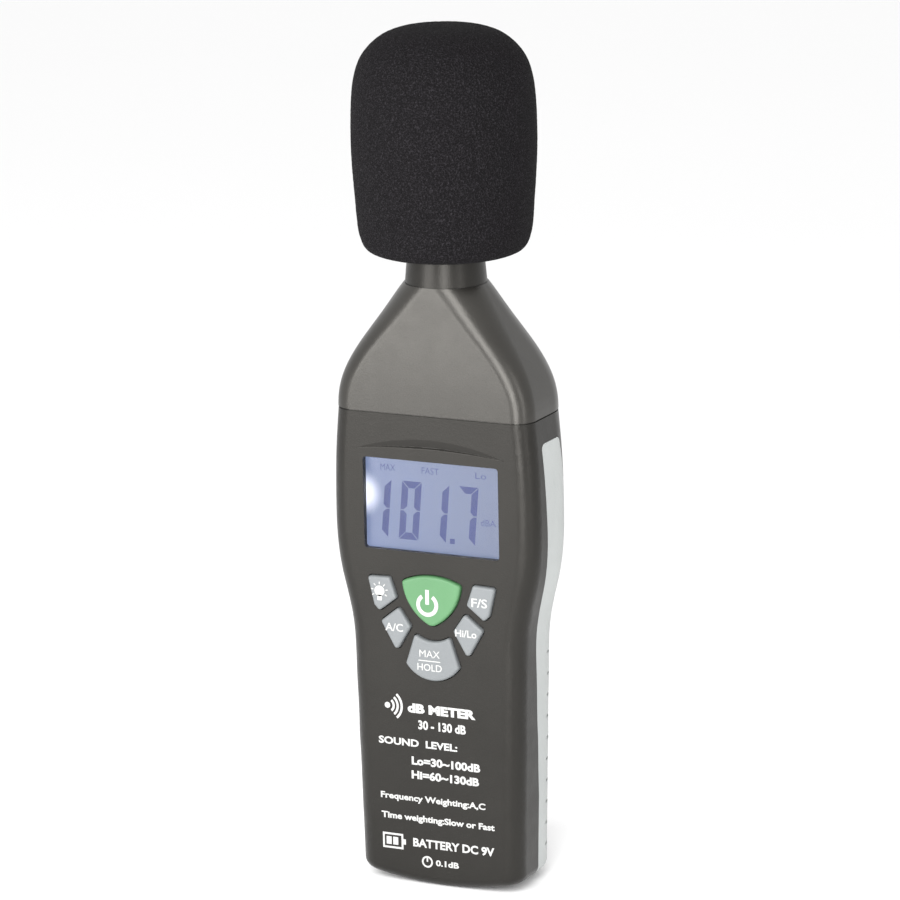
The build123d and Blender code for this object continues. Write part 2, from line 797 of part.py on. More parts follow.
with BuildPart() as trimmer_rotor:
    add(rod(trimmer_x, trimmer_z, board_rear_y + 1.6 + running_clearance, board_rear_y + 4.7, rotor_radius))
    add(
        block(
            trimmer_x - 0.3, trimmer_x + 0.3, board_rear_y + 4.0, board_rear_y + 6,
            trimmer_z - 1.2, trimmer_z + 1.2,
        ),
        mode=Mode.SUBTRACT,
    )
trimmer_rotor.part.label = "trimmer_rotor"
export_step(trimmer_rotor.part, "parts/trimmer_rotor.step")

with BuildPart() as preamp_board:
    add(
        block(
            -preamp_half_width, preamp_half_width, -board_thickness / 2, board_thickness / 2,
            preamp_bottom_z, tube_bottom_z - 1.2,
        )
    )
    for side in (-1, 1):
        with BuildSketch(Plane.XZ.offset(5)) as corner:
            with BuildLine():
                Polyline(
                    (side * preamp_half_width, 130), (side * preamp_half_width, 142),
                    (side * 7.5, 142), (side * preamp_half_width, 130),
                )
            make_face()
        extrude(amount=-10, mode=Mode.SUBTRACT)
preamp_board.part.label = "preamp_board"
export_step(preamp_board.part, "parts/preamp_board.step")

with BuildPart() as signal_header:
    add(block(-6, 6, -board_front_depth, board_thickness / 2, board_top_z, preamp_bottom_z))
signal_header.part.label = "signal_header"
export_step(signal_header.part, "parts/signal_header.step")

with BuildPart() as preamp_parts:
    add(block(-3, 3, board_thickness / 2, board_thickness / 2 + 1.5, 126, 130))
    for x in (-7.5, 7.5):
        add(rod(x, 127.5, board_thickness / 2, board_thickness / 2 + 4.5, 2.0))
preamp_parts.part.label = "preamp_parts"
export_step(preamp_parts.part, "parts/preamp_parts.step")

# ---- switch domes and keys -----------------------------------------------------------------------
sheet_front_y = -board_front_depth - dome_sheet_thickness


def switch_dome(x, z):
    """Snap dome standing on the sheet."""
    with BuildPart() as dome:
        add(rod(x, z, sheet_front_y - dome_height, sheet_front_y, dome_radius))
        chamfer(dome.edges().group_by(Axis.Y)[0], dome_height * 0.7, dome_height * 1.6)
    return dome.part


with BuildPart() as dome_sheet:
    add(block(-16.8, 16.8, sheet_front_y, -board_front_depth, board_bottom_z + 0.3, 81.0))
    for x, z in board_screw_positions:
        add(rod(x, z, -10, 2, 2.3), mode=Mode.SUBTRACT)
    for x, z in plunger_positions.values():
        add(switch_dome(x, z))
dome_sheet.part.label = "dome_sheet"
export_step(dome_sheet.part, "parts/dome_sheet.step")

with BuildPart() as key_power:
    add(key_body("key_power"))
key_power.part.label = "key_power"
export_step(key_power.part, "parts/key_power.step")

with BuildPart() as key_backlight:
    add(key_body("key_backlight"))
key_backlight.part.label = "key_backlight"
export_step(key_backlight.part, "parts/key_backlight.step")

with BuildPart() as key_fast_slow:
    add(key_body("key_fast_slow"))
key_fast_slow.part.label = "key_fast_slow"
export_step(key_fast_slow.part, "parts/key_fast_slow.step")

with BuildPart() as key_weighting:
    add(key_body("key_weighting"))
key_weighting.part.label = "key_weighting"
export_step(key_weighting.part, "parts/key_weighting.step")

with BuildPart() as key_range:
    add(key_body("key_range"))
key_range.part.label = "key_range"
export_step(key_range.part, "parts/key_range.step")

with BuildPart() as key_max_hold:
    add(key_body("key_max_hold"))
key_max_hold.part.label = "key_max_hold"
export_step(key_max_hold.part, "parts/key_max_hold.step")

# ---- battery -------------------------------------------------------------------------------------
battery_front_y = -battery_front_depth
battery_top_z = battery_bottom_z + battery_length
battery_rear_y = battery_front_y + battery_depth
battery_middle_y = (battery_front_y + battery_rear_y) / 2
with BuildPart() as battery:
    add(
        block(
            -battery_width / 2, battery_width / 2, battery_front_y, battery_rear_y,
            battery_bottom_z, battery_top_z,
        )
    )
    fillet(battery.edges().filter_by(Axis.Z), 2.0)
    fillet(battery.edges().group_by(Axis.Z)[-1], 0.6)
battery.part.label = "battery"
export_step(battery.part, "parts/battery.step")

with BuildPart() as battery_terminals:
    for x, radius in ((-6.35, 3.8), (6.35, 2.9)):
        with Locations((x, battery_middle_y, battery_top_z + terminal_height / 2)):
            Cylinder(radius, terminal_height)
battery_terminals.part.label = "battery_terminals"
export_step(battery_terminals.part, "parts/battery_terminals.step")

snap_bottom_z = battery_top_z + terminal_height
snap_top_z = snap_bottom_z + snap_thickness
with BuildPart() as battery_snap:
    with BuildSketch(Plane.XY.offset(snap_bottom_z)):
        with Locations((0, battery_middle_y)):
            RectangleRounded(24.5, 13.5, 2)
    extrude(amount=snap_thickness)
    fillet(battery_snap.edges().group_by(Axis.Z)[-1], 0.5)
battery_snap.part.label = "battery_snap"
export_step(battery_snap.part, "parts/battery_snap.step")

lead_radius = 0.6
lead_bend_z = 66.0
lead_bend_radius = 2.5


def lead(x):
    """Battery lead from the snap connector up and forward to the rear of the main board."""
    with BuildPart() as wire:
        with BuildLine() as path:
            FilletPolyline(
                (x, battery_middle_y, snap_top_z), (x, battery_middle_y, lead_bend_z),
                (x, board_rear_y, lead_bend_z), radius=lead_bend_radius,
            )
        with BuildSketch(Plane(origin=(x, battery_middle_y, snap_top_z), z_dir=(0, 0, 1))):
            Circle(lead_radius)
        sweep(path=path.line)
    return wire.part


with BuildPart() as lead_red:
    add(lead(-7.5))
lead_red.part.label = "lead_red"
export_step(lead_red.part, "parts/lead_red.step")

with BuildPart() as lead_black:
    add(lead(7.5))
lead_black.part.label = "lead_black"
export_step(lead_black.part, "parts/lead_black.step")

# ---- battery door --------------------------------------------------------------------------------
with BuildPart() as battery_door:
    add(door_prism(door_clearance))
    add(outer_form, mode=Mode.INTERSECT)
    add(block(-20, 20, 0, rear_depth - wall, 0, 80), mode=Mode.SUBTRACT)
    # Finger grooves near the top edge.
    for index in range(4):
        z = door_top_z - 13 + 2.2 * index
        add(block(-6, 6, rear_depth - 0.5, rear_depth + 1, z - 0.5, z + 0.5), mode=Mode.SUBTRACT)
    add(rod(0, door_screw_z, 10, 20, 1.3), mode=Mode.SUBTRACT)
    add(rod(0, door_screw_z, rear_depth - 1.2, rear_depth + 3, 2.2), mode=Mode.SUBTRACT)
battery_door.part.label = "battery_door"
export_step(battery_door.part, "parts/battery_door.step")

with BuildPart() as battery_door_screw:
    add(rod(0, door_screw_z, 9.5, rear_depth - 1.2, 1.25))
    add(rod(0, door_screw_z, rear_depth - 1.2, rear_depth - 0.1, 1.9))
    add(
        block(-2, 2, rear_depth - 0.6, rear_depth, door_screw_z - 0.3, door_screw_z + 0.3),
        mode=Mode.SUBTRACT,
    )
battery_door_screw.part.label = "battery_door_screw"
export_step(battery_door_screw.part, "parts/battery_door_screw.step")

with BuildPart() as battery_pad:
    add(block(-8, 8, battery_rear_y + seat_gap, rear_depth - wall, 14, 44))
battery_pad.part.label = "battery_pad"
export_step(battery_pad.part, "parts/battery_pad.step")

# ---- fixings -------------------------------------------------------------------------------------
with BuildPart() as case_screws:
    for x, z in case_screw_positions:
        add(rod(x, z, -6.0, screw_seat_y, screw_radius))
        add(rod(x, z, screw_seat_y, screw_seat_y + 1.6, screw_head_radius))
        slot_floor_y = screw_seat_y + 0.9
        add(block(x - 1.4, x + 1.4, slot_floor_y, slot_floor_y + 2, z - 0.3, z + 0.3), mode=Mode.SUBTRACT)
        add(block(x - 0.3, x + 0.3, slot_floor_y, slot_floor_y + 2, z - 1.4, z + 1.4), mode=Mode.SUBTRACT)
case_screws.part.label = "case_screws"
export_step(case_screws.part, "parts/case_screws.step")

with BuildPart() as tripod_insert:
    add(rod(0, tripod_z, rear_depth - tripod_insert_length, rear_depth, tripod_insert_radius))
    bore_start_y = rear_depth - tripod_insert_length - 1
    add(rod(0, tripod_z, bore_start_y, rear_depth + 1, tripod_bore_radius), mode=Mode.SUBTRACT)
tripod_insert.part.label = "tripod_insert"
export_step(tripod_insert.part, "parts/tripod_insert.step")
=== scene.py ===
"""Studio scene of a hand-held sound level meter, dressed over its CAD frame."""

import logging
import math
from dataclasses import dataclass
from enum import Enum
from typing import Callable, ClassVar, Optional

import bmesh
import bpy
from mathutils import Matrix, Vector

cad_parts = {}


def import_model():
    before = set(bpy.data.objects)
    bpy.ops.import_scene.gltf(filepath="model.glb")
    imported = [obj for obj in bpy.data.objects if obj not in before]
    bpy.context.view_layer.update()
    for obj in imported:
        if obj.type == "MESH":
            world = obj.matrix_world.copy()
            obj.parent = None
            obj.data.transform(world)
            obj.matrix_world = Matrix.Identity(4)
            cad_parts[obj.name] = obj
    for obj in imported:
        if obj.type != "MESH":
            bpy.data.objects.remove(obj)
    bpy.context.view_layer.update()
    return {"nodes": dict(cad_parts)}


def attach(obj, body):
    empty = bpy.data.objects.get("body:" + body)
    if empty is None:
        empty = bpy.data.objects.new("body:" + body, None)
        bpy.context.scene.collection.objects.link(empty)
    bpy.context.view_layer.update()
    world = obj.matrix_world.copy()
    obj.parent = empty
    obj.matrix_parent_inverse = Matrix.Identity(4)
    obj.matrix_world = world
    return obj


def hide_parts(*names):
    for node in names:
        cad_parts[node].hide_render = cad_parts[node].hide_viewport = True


LOG = logging.getLogger("sound_level_meter")
MM = 0.001
ROOT = "instrument"
INK_THICKNESS = 0.00004
SEGMENT_THICKNESS = 0.00002
PRINT_GAP = 0.00001
WELD = 2e-6
SLIVER = 1e-6
FINE_SLIVER = 1e-7
SHARP_ANGLE = 32.0

Socket = bpy.types.NodeSocket
Piece = bpy.types.Object
Mesh = bpy.types.Mesh
Material = bpy.types.Material
Place = tuple[float, float]


class Operation(Enum):
    """What a calculating node works out."""

    ADD = "ADD"
    DIVIDE = "DIVIDE"
    GREATER = "GREATER_THAN"
    LARGEST = "MAXIMUM"
    MULTIPLY = "MULTIPLY"
    MULTIPLY_ADD = "MULTIPLY_ADD"


# ---- shader helpers ----
def calculate(tree: bpy.types.NodeTree, operation: Operation, *terms: object) -> Socket:
    """Adds a calculation to a node tree.

    Args:
        tree: the tree.
        operation: what it works out.
        terms: sockets to join or plain numbers, in order.

    Returns:
        The result.
    """
    node = tree.nodes.new("ShaderNodeMath")
    node.operation = operation.value
    for place, term in zip(node.inputs, terms):
        if isinstance(term, Socket):
            tree.links.new(term, place)
        else:
            place.default_value = term
    return node.outputs["Value"]


class NodeSheet:
    """A material's node tree with short calls for the nodes this scene uses."""

    def __init__(self, name: str) -> None:
        """Starts an empty node material.

        Args:
            name: name of the material.
        """
        self.material = bpy.data.materials.new(name)
        self.material.use_nodes = True
        self.tree = self.material.node_tree
        self.tree.nodes.clear()
        self.output = self.tree.nodes.new("ShaderNodeOutputMaterial")
        self.place = self.tree.nodes.new("ShaderNodeTexCoord").outputs["Object"]

    def link(self, source: Socket, target: Socket) -> None:
        """Joins two sockets.

        Args:
            source: where the value comes from.
            target: where it goes.
        """
        self.tree.links.new(source, target)

    def principled(self, **values: object) -> bpy.types.Node:
        """Adds the surface shader and sets its sockets.

        Args:
            values: socket names with underscores for spaces, and their values.

        Returns:
            The shader node, already joined to the output.
        """
        shader = self.tree.nodes.new("ShaderNodeBsdfPrincipled")
        for key, value in values.items():
            shader.inputs[key.replace("_", " ")].default_value = value
        self.link(shader.outputs["BSDF"], self.output.inputs["Surface"])
        return shader

    def noise(self, size: float, detail: float = 3.0, stretch: tuple = (1.0, 1.0, 1.0)) -> Socket:
        """Adds a noise pattern.

        Args:
            size: size of one lump in metres.
            detail: number of octaves.
            stretch: factors along X, Y and Z.

        Returns:
            The noise value, from 0 to 1.
        """
        mapping = self.tree.nodes.new("ShaderNodeMapping")
        mapping.inputs["Scale"].default_value = stretch
        self.link(self.place, mapping.inputs["Vector"])
        node = self.tree.nodes.new("ShaderNodeTexNoise")
        node.inputs["Scale"].default_value = 1.0 / size
        node.inputs["Detail"].default_value = detail
        self.link(mapping.outputs["Vector"], node.inputs["Vector"])
        return node.outputs["Fac"]

    def cells(self, size: float) -> Socket:
        """Adds a cell pattern.

        Args:
            size: size of one cell in metres.

        Returns:
            The distance to the nearest cell centre.
        """
        node = self.tree.nodes.new("ShaderNodeTexVoronoi")
        node.inputs["Scale"].default_value = 1.0 / size
        self.link(self.place, node.inputs["Vector"])
        return node.outputs["Distance"]

    def ramp(self, source: Socket, low: float, high: float, first: float, last: float) -> Socket:
        """Maps a value from one span to another.

        Args:
            source: the value.
            low: start of its span.
            high: end of its span.
            first: result at the start.
            last: result at the end.

        Returns:
            The mapped value, held inside its span.
        """
        node = self.tree.nodes.new("ShaderNodeMapRange")
        spans = {"From Min": low, "From Max": high, "To Min": first, "To Max": last}
        for name, value in spans.items():
            node.inputs[name].default_value = value
        self.link(source, node.inputs["Value"])
        return node.outputs["Result"]

    def blend(self, factor: Socket, dark: tuple, light: tuple) -> Socket:
        """Mixes two colours by a value.

        Args:
            factor: 0 gives dark and 1 gives light.
            dark: first colour.
            light: second colour.

        Returns:
            The mixed colour.
        """
        node = self.tree.nodes.new("ShaderNodeValToRGB")
        node.color_ramp.elements[0].color = (*dark, 1.0)
        node.color_ramp.elements[1].color = (*light, 1.0)
        self.link(factor, node.inputs["Fac"])
        return node.outputs["Color"]

    def bump(
        self, height: Socket, depth: float, strength: float, below: Optional[Socket] = None
    ) -> Socket:
        """Adds relief.

        Args:
            height: height pattern from 0 to 1.
            depth: depth of the relief in metres.
            strength: share of the relief that is used.
            below: normal of a coarser relief underneath.

        Returns:
            The bent normal.
        """
        node = self.tree.nodes.new("ShaderNodeBump")
        node.inputs["Distance"].default_value = depth
        node.inputs["Strength"].default_value = strength
        self.link(height, node.inputs["Height"])
        if below is not None:
            self.link(below, node.inputs["Normal"])
        return node.outputs["Normal"]


# ---- finishes ----
@dataclass(frozen=True)
class MouldedPlastic:
    """Injection-moulded plastic or rubber: fine spark grain, faint flow marks and handling wear."""

    name: str
    colour: tuple
    spread: float = 0.12
    roughness: float = 0.45
    roughness_spread: float = 0.08
    grain: float = 0.00035
    grain_depth: float = 0.00004
    grain_strength: float = 0.35
    specular: float = 0.5
    sheen: float = 0.0
    coat: float = 0.0
    tint: tuple = (1.0, 1.0, 1.0)
    flow_size: float = 0.018
    wear_size: float = 0.004

    def material(self) -> Material:
        """Builds the finish.

        Returns:
            The material.
        """
        sheet = NodeSheet(self.name)
        shader = sheet.principled(
            Specular_IOR_Level=self.specular, Sheen_Weight=self.sheen,
            Coat_Weight=self.coat, Specular_Tint=(*self.tint, 1.0),
        )
        dark = tuple(c * (1 - self.spread) for c in self.colour)
        light = tuple(c * (1 + self.spread) for c in self.colour)
        flow = sheet.ramp(sheet.noise(self.flow_size, 4.0, (1.0, 1.0, 0.6)), 0.35, 0.65, 0.0, 1.0)
        sheet.link(sheet.blend(flow, dark, light), shader.inputs["Base Color"])
        wear = sheet.noise(self.wear_size, 5.0)
        low, high = self.roughness - self.roughness_spread, self.roughness + self.roughness_spread
        sheet.link(sheet.ramp(wear, 0.3, 0.7, low, high), shader.inputs["Roughness"])
        pits = sheet.cells(self.grain)
        lumps = sheet.noise(self.grain * 2.3, 3.0)
        coarse = sheet.bump(lumps, self.grain_depth * 1.5, self.grain_strength)
        fine = sheet.bump(pits, self.grain_depth, self.grain_strength, coarse)
        sheet.link(fine, shader.inputs["Normal"])
        return sheet.material


@dataclass(frozen=True)
class OpenFoam:
    """Reticulated foam in its own near-black colour, with painted highlight specks on the struts
    around the pores.
    """

    name: str
    colour: tuple
    highlight_speck: tuple
    cell: float = 0.0007
    lump_depth: float = 0.0004
    pore_depth: float = 0.0006

    def material(self) -> Material:
        """Builds the finish.

        Returns:
            The material.
        """
        sheet = NodeSheet(self.name)
        shader = sheet.principled(Roughness=0.97, Specular_IOR_Level=0.1)
        pores = sheet.cells(self.cell)
        grit = sheet.noise(self.cell * 0.8, 4.0)
        # painted highlight: the struts between the pores and the grit specks are coloured lighter
        # than the foam, standing in for light caught on the struts
        lit_struts = sheet.ramp(pores, 0.25, 0.75, 0.0, 1.0)
        highlight_specks = sheet.ramp(grit, 0.42, 0.72, 0.0, 1.0)
        mix = calculate(sheet.tree, Operation.MULTIPLY, lit_struts, highlight_specks)
        sheet.link(sheet.blend(mix, self.colour, self.highlight_speck), shader.inputs["Base Color"])
        coarse = sheet.bump(sheet.noise(self.cell * 2.2, 3.0), self.lump_depth, 0.5)
        sheet.link(sheet.bump(pores, self.pore_depth, 0.8, coarse), shader.inputs["Normal"])
        return sheet.material


@dataclass(frozen=True)
class TurnedMetal:
    """Plated or turned metal with fine tool marks around its axis and a few dull spots."""

    name: str
    colour: tuple
    roughness: float = 0.28
    marks: float = 0.0002
    mark_depth: float = 0.00002
    spot_size: float = 0.003

    def material(self) -> Material:
        """Builds the finish.

        Returns:
            The material.
        """
        sheet = NodeSheet(self.name)
        shader = sheet.principled(Metallic=1.0)
        spots = sheet.noise(self.spot_size, 5.0)
        dark = tuple(c * 0.8 for c in self.colour)
        cover = sheet.ramp(spots, 0.3, 0.7, 0.0, 1.0)
        sheet.link(sheet.blend(cover, dark, self.colour), shader.inputs["Base Color"])
        dull, clean = self.roughness + 0.1, self.roughness - 0.05
        sheet.link(sheet.ramp(spots, 0.3, 0.7, dull, clean), shader.inputs["Roughness"])
        rings = sheet.noise(self.marks, 2.0, (0.15, 1.0, 1.0))
        sheet.link(sheet.bump(rings, self.mark_depth, 0.3), shader.inputs["Normal"])
        return sheet.material


@dataclass(frozen=True)
class PrintedInk:
    """Screen-printed ink with slightly uneven cover."""

    name: str
    colour: tuple
    glow: float = 0.0
    grit: float = 0.0006
    relief: float = 0.00001

    def material(self) -> Material:
        """Builds the finish.

        Returns:
            The material.
        """
        sheet = NodeSheet(self.name)
        shader = sheet.principled(
            Roughness=0.55, Specular_IOR_Level=0.3, Emission_Strength=self.glow
        )
        cover = sheet.noise(self.grit, 4.0)
        worn = tuple(c * 0.86 for c in self.colour)
        tint = sheet.blend(sheet.ramp(cover, 0.3, 0.6, 0.0, 1.0), worn, self.colour)
        sheet.link(tint, shader.inputs["Emission Color" if self.glow > 0 else "Base Color"])
        if self.glow > 0:
            shader.inputs["Base Color"].default_value = (0.01, 0.01, 0.02, 1.0)
        sheet.link(sheet.bump(cover, self.relief, 0.4), shader.inputs["Normal"])
        return sheet.material


@dataclass(frozen=True)
class ClearWindow:
    """Clear acrylic with faint rub marks."""

    name: str
    refraction: float = 1.25
    rub_size: float = 0.0012

    def material(self) -> Material:
        """Builds the finish.

        Returns:
            The material.
        """
        sheet = NodeSheet(self.name)
        shader = sheet.principled(
            Transmission_Weight=1.0, IOR=self.refraction, Base_Color=(0.97, 0.98, 1.0, 1.0)
        )
        rub = sheet.noise(self.rub_size, 6.0, (1.0, 1.0, 4.0))
        sheet.link(sheet.ramp(rub, 0.45, 0.75, 0.01, 0.06), shader.inputs["Roughness"])
        return sheet.material


@dataclass(frozen=True)
class LitDisplay:
    """Backlit liquid crystal panel, brightest beside its lamp."""

    name: str
    near: tuple
    far: tuple
    lamp: tuple
    half_width: float = 0.018
    glare_start: float = 0.0010
    glare_end: float = 0.0072
    glare: tuple = (1.25, 1.28, 1.45, 1.0)

    def material(self) -> Material:
        """Builds the finish.

        Returns:
            The material.
        """
        sheet = NodeSheet(self.name)
        shader = sheet.principled(
            Base_Color=(0.02, 0.02, 0.03, 1.0), Roughness=0.35,
            Specular_IOR_Level=0.2, Emission_Strength=1.0,
        )
        split = sheet.tree.nodes.new("ShaderNodeSeparateXYZ")
        sheet.link(sheet.place, split.inputs["Vector"])
        across = sheet.ramp(split.outputs["X"], -self.half_width, self.half_width, 0.0, 1.0)
        clouds = sheet.noise(0.006, 3.0)
        mottled = calculate(sheet.tree, Operation.MULTIPLY_ADD, clouds, 0.25, across)
        base = sheet.blend(sheet.ramp(mottled, 0.1, 1.15, 0.0, 1.0), self.near, self.far)
        away = sheet.tree.nodes.new("ShaderNodeVectorMath")
        away.operation = "DISTANCE"
        away.inputs[1].default_value = self.lamp
        sheet.link(sheet.place, away.inputs[0])
        hot = sheet.tree.nodes.new("ShaderNodeMapRange")
        hot.interpolation_type = "SMOOTHERSTEP"
        hot.inputs["From Min"].default_value = self.glare_start
        hot.inputs["From Max"].default_value = self.glare_end
        hot.inputs["To Min"].default_value = 1.0
        hot.inputs["To Max"].default_value = 0.0
        sheet.link(away.outputs["Value"], hot.inputs["Value"])
        mix = sheet.tree.nodes.new("ShaderNodeMix")
        mix.data_type = "RGBA"
        sheet.link(hot.outputs["Result"], mix.inputs["Factor"])
        sheet.link(base, mix.inputs["A"])
        mix.inputs["B"].default_value = self.glare
        sheet.link(mix.outputs["Result"], shader.inputs["Emission Color"])
        return sheet.material


WARM = (1.0, 0.965, 0.905)
CASE = MouldedPlastic(
    "case_plastic", (0.0085, 0.0080, 0.0072), 0.12, 0.34, 0.04, specular=0.30, tint=WARM
)
# head cover: a lighter, glossier copy of the case plastic, a painted highlight for the extra light
# its upward-leaning front catches
HEAD_PAINTED_HIGHLIGHT = MouldedPlastic(
    "head_plastic", (0.0125, 0.0118, 0.0105), 0.10, 0.31, 0.03,
    grain_strength=0.2, specular=0.56, tint=WARM,
)
GRIP = MouldedPlastic("grip_rubber", (0.335, 0.35, 0.345), 0.04, 0.6, 0.06, grain=0.0005, sheen=0.1)
KEY_GREY = MouldedPlastic("key_grey", (0.140, 0.149, 0.154), 0.05, 0.5, 0.06, grain=0.00025)
KEY_GREEN = MouldedPlastic("key_green", (0.064, 0.175, 0.072), 0.06, 0.48, 0.06, grain=0.00025)
# windscreen foam: near-black foam with painted highlight specks on its struts
FOAM = OpenFoam("foam", (0.0048, 0.0042, 0.0048), (0.024, 0.022, 0.025), 0.00045)
LEGEND = PrintedInk("legend_ink", (0.42, 0.42, 0.41))
SEGMENT = PrintedInk("segment_ink", (0.045, 0.068, 0.240), 1.0)
FAINT_SEGMENT = PrintedInk("annunciator_ink", (0.075, 0.100, 0.270), 1.0)
WINDOW = ClearWindow("window_clear")
BRIGHT = TurnedMetal("bright_metal", (0.72, 0.72, 0.73))
STEEL = TurnedMetal("screw_steel", (0.45, 0.45, 0.46), 0.35)
BRASS = TurnedMetal("brass_parts", (0.70, 0.50, 0.20), 0.3)
DISPLAY = LitDisplay(
    "display_glass", (0.215, 0.268, 0.435), (0.190, 0.228, 0.335), (-0.0203, -0.0081, 0.0984)
)
BOARD_GREEN = (0.015, 0.11, 0.04)

INSIDE_FINISHES = {
    "sealing_ring": MouldedPlastic("black_rubber", (0.02, 0.02, 0.02), roughness=0.6),
    "microphone_capsule": TurnedMetal("diaphragm_metal", (0.6, 0.6, 0.62)),
    "microphone_holder": MouldedPlastic("white_plastic", (0.7, 0.7, 0.68)),
    "display_frame": MouldedPlastic("frame_plastic", (0.72, 0.72, 0.70)),
    "connector_strips": MouldedPlastic("strip_rubber", (0.5, 0.22, 0.28), roughness=0.6),
    "light_guide": MouldedPlastic("guide_acrylic", (0.8, 0.83, 0.92), roughness=0.3),
    "backlight_lamp": MouldedPlastic("lamp", (0.85, 0.85, 0.7), roughness=0.2, coat=0.4),
    "main_board": MouldedPlastic("board", BOARD_GREEN, roughness=0.3, coat=0.3, grain=0.0008),
    "preamp_board": MouldedPlastic(
        "small_board", BOARD_GREEN, roughness=0.3, coat=0.3, grain=0.0008
    ),
    "board_screws": STEEL,
    "case_screws": STEEL,
    "battery_door_screw": STEEL,
    "board_chips": MouldedPlastic("chip_plastic", (0.012, 0.012, 0.012), roughness=0.5),
    "board_capacitors": TurnedMetal("capacitor_can", (0.66, 0.66, 0.7)),
    "board_passives": MouldedPlastic("ceramic_parts", (0.35, 0.24, 0.14), roughness=0.4),
    "crystal": BRIGHT,
    "microphone_tube": BRIGHT,
    "microphone_grid": BRIGHT,
    "battery_terminals": BRIGHT,
    "trimmer_body": MouldedPlastic("trimmer_blue", (0.03, 0.09, 0.36), roughness=0.3),
    "trimmer_rotor": BRASS,
    "tripod_insert": BRASS,
    "signal_header": MouldedPlastic("header_plastic", (0.02, 0.02, 0.02), roughness=0.45),
    "preamp_parts": MouldedPlastic("preamp_plastic", (0.03, 0.03, 0.04), roughness=0.45),
    "dome_sheet": MouldedPlastic("dome_film", (0.6, 0.56, 0.42), roughness=0.35),
    "battery": MouldedPlastic("battery_jacket", (0.05, 0.055, 0.075), roughness=0.3, coat=0.4),
    "battery_snap": MouldedPlastic("snap_rubber", (0.02, 0.02, 0.02), roughness=0.6),
    "lead_red": MouldedPlastic("lead_red", (0.42, 0.02, 0.02), roughness=0.4),
    "lead_black": MouldedPlastic("lead_black", (0.015, 0.015, 0.015), roughness=0.4),
    # battery pad: dark foam with painted highlight specks on its struts
    "battery_pad": OpenFoam("pad_foam", (0.02, 0.02, 0.02), (0.08, 0.08, 0.08)),
    "display_window": WINDOW,
}


# ---- mesh helpers ----
def dress(piece: Piece, material: Material) -> None:
    """Gives a piece one material.

    Args:
        piece: the piece.
        material: its material.
    """
    piece.data.materials.clear()
    piece.data.materials.append(material)


def add_object(name: str, mesh: Mesh) -> Piece:
    """Puts a mesh into the scene at the origin.

    Args:
        name: name of the new piece.
        mesh: its mesh.

    Returns:
        The piece.
    """
    piece = bpy.data.objects.new(name, mesh)
    bpy.context.scene.collection.objects.link(piece)
    return piece


def apply_modifiers(piece: Piece) -> None:
    """Makes the evaluated mesh the piece's own and removes its modifiers.

    Args:
        piece: the piece.
    """
    bpy.context.view_layer.update()
    graph = bpy.context.evaluated_depsgraph_get()
    baked = bpy.data.meshes.new_from_object(
        piece.evaluated_get(graph), preserve_all_data_layers=True, depsgraph=graph
    )
    piece.modifiers.clear()
    piece.data = baked


def smooth_copy(node: Piece, name: str, shape: Optional[Callable] = None) -> Piece:
    """Copies a CAD node as one welded, smoothly shaded mesh.

    Args:
        node: the CAD node.
        name: name of the new piece.
        shape: reworks the welded mesh before it is shaded.

    Returns:
        The new piece.
    """
    mesh = node.data.copy()
    mesh.name = name
    work = bmesh.new()
    work.from_mesh(mesh)
    bmesh.ops.remove_doubles(work, verts=work.verts, dist=WELD)
    bmesh.ops.dissolve_degenerate(work, edges=work.edges, dist=SLIVER)
    if shape is not None:
        shape(work)
    limit = math.radians(SHARP_ANGLE)
    for edge in work.edges:
        edge.smooth = len(edge.link_faces) != 2 or edge.calc_face_angle(0.0) < limit
    for face in work.faces:
        face.smooth = True
    work.to_mesh(mesh)
    work.free()
    piece = add_object(name, mesh)
    weighted = piece.modifiers.new("weighted", "WEIGHTED_NORMAL")
    weighted.mode = "FACE_AREA_WITH_ANGLE"
    weighted.weight = 90
    weighted.keep_sharp = True
    apply_modifiers(piece)
    return piece


@dataclass
class FrontFace:
    """The leaning front face of the case, in metres."""

    base_depth: float = 0.0096
    seam_depth: float = 0.0110
    seam_z: float = 0.1194

    def depth(self, z: float) -> float:
        """Distance from the microphone axis to the face.

        Args:
            z: height in metres.

        Returns:
            The distance in metres.
        """
        return self.base_depth + (self.seam_depth - self.base_depth) * z / self.seam_z

    def lay(self, mesh: Mesh, proud: float, level: Optional[float] = None) -> None:
        """Lays a mesh drawn in its XY plane onto the face.

        Args:
            mesh: the mesh, X to the right and Y up; its Z becomes height off the face.
            proud: distance of its zero plane in front of the face.
            level: height whose depth serves the whole mesh, for surfaces that stand upright.
        """
        for vertex in mesh.vertices:
            u, v, w = vertex.co
            depth = self.depth(v if level is None else level)
            vertex.co = (u, -(depth + proud + w), v)


FACE = FrontFace()


@dataclass
class Lettering:
    """One line of lettering that fills its width and cap height; places in millimetres."""

    text: str
    left: float
    right: float
    base: float
    cap: float
    bold: float = 0.03
    thickness: float = INK_THICKNESS
    cap_share: float = 0.69

    def mesh(self) -> Mesh:
        """Draws the line in the XY plane, at its own place.

        Returns:
            The mesh, in metres.
        """
        size = (self.cap - self.base) * MM / self.cap_share
        curve = bpy.data.curves.new("line", "FONT")
        curve.body = self.text
        curve.size = size
        curve.offset = size * self.bold
        curve.extrude = self.thickness / 2
        curve.resolution_u = 3
        holder = bpy.data.objects.new("line", curve)
        bpy.context.scene.collection.objects.link(holder)
        bpy.context.view_layer.update()
        graph = bpy.context.evaluated_depsgraph_get()
        mesh = bpy.data.meshes.new_from_object(holder.evaluated_get(graph))
        bpy.data.objects.remove(holder)
        bpy.data.curves.remove(curve)
        low = min(vertex.co.x for vertex in mesh.vertices)
        high = max(vertex.co.x for vertex in mesh.vertices)
        stretch = (self.right - self.left) * MM / (high - low)
        for vertex in mesh.vertices:
            vertex.co.x = self.left * MM + (vertex.co.x - low) * stretch
            vertex.co.y += self.base * MM
        return mesh


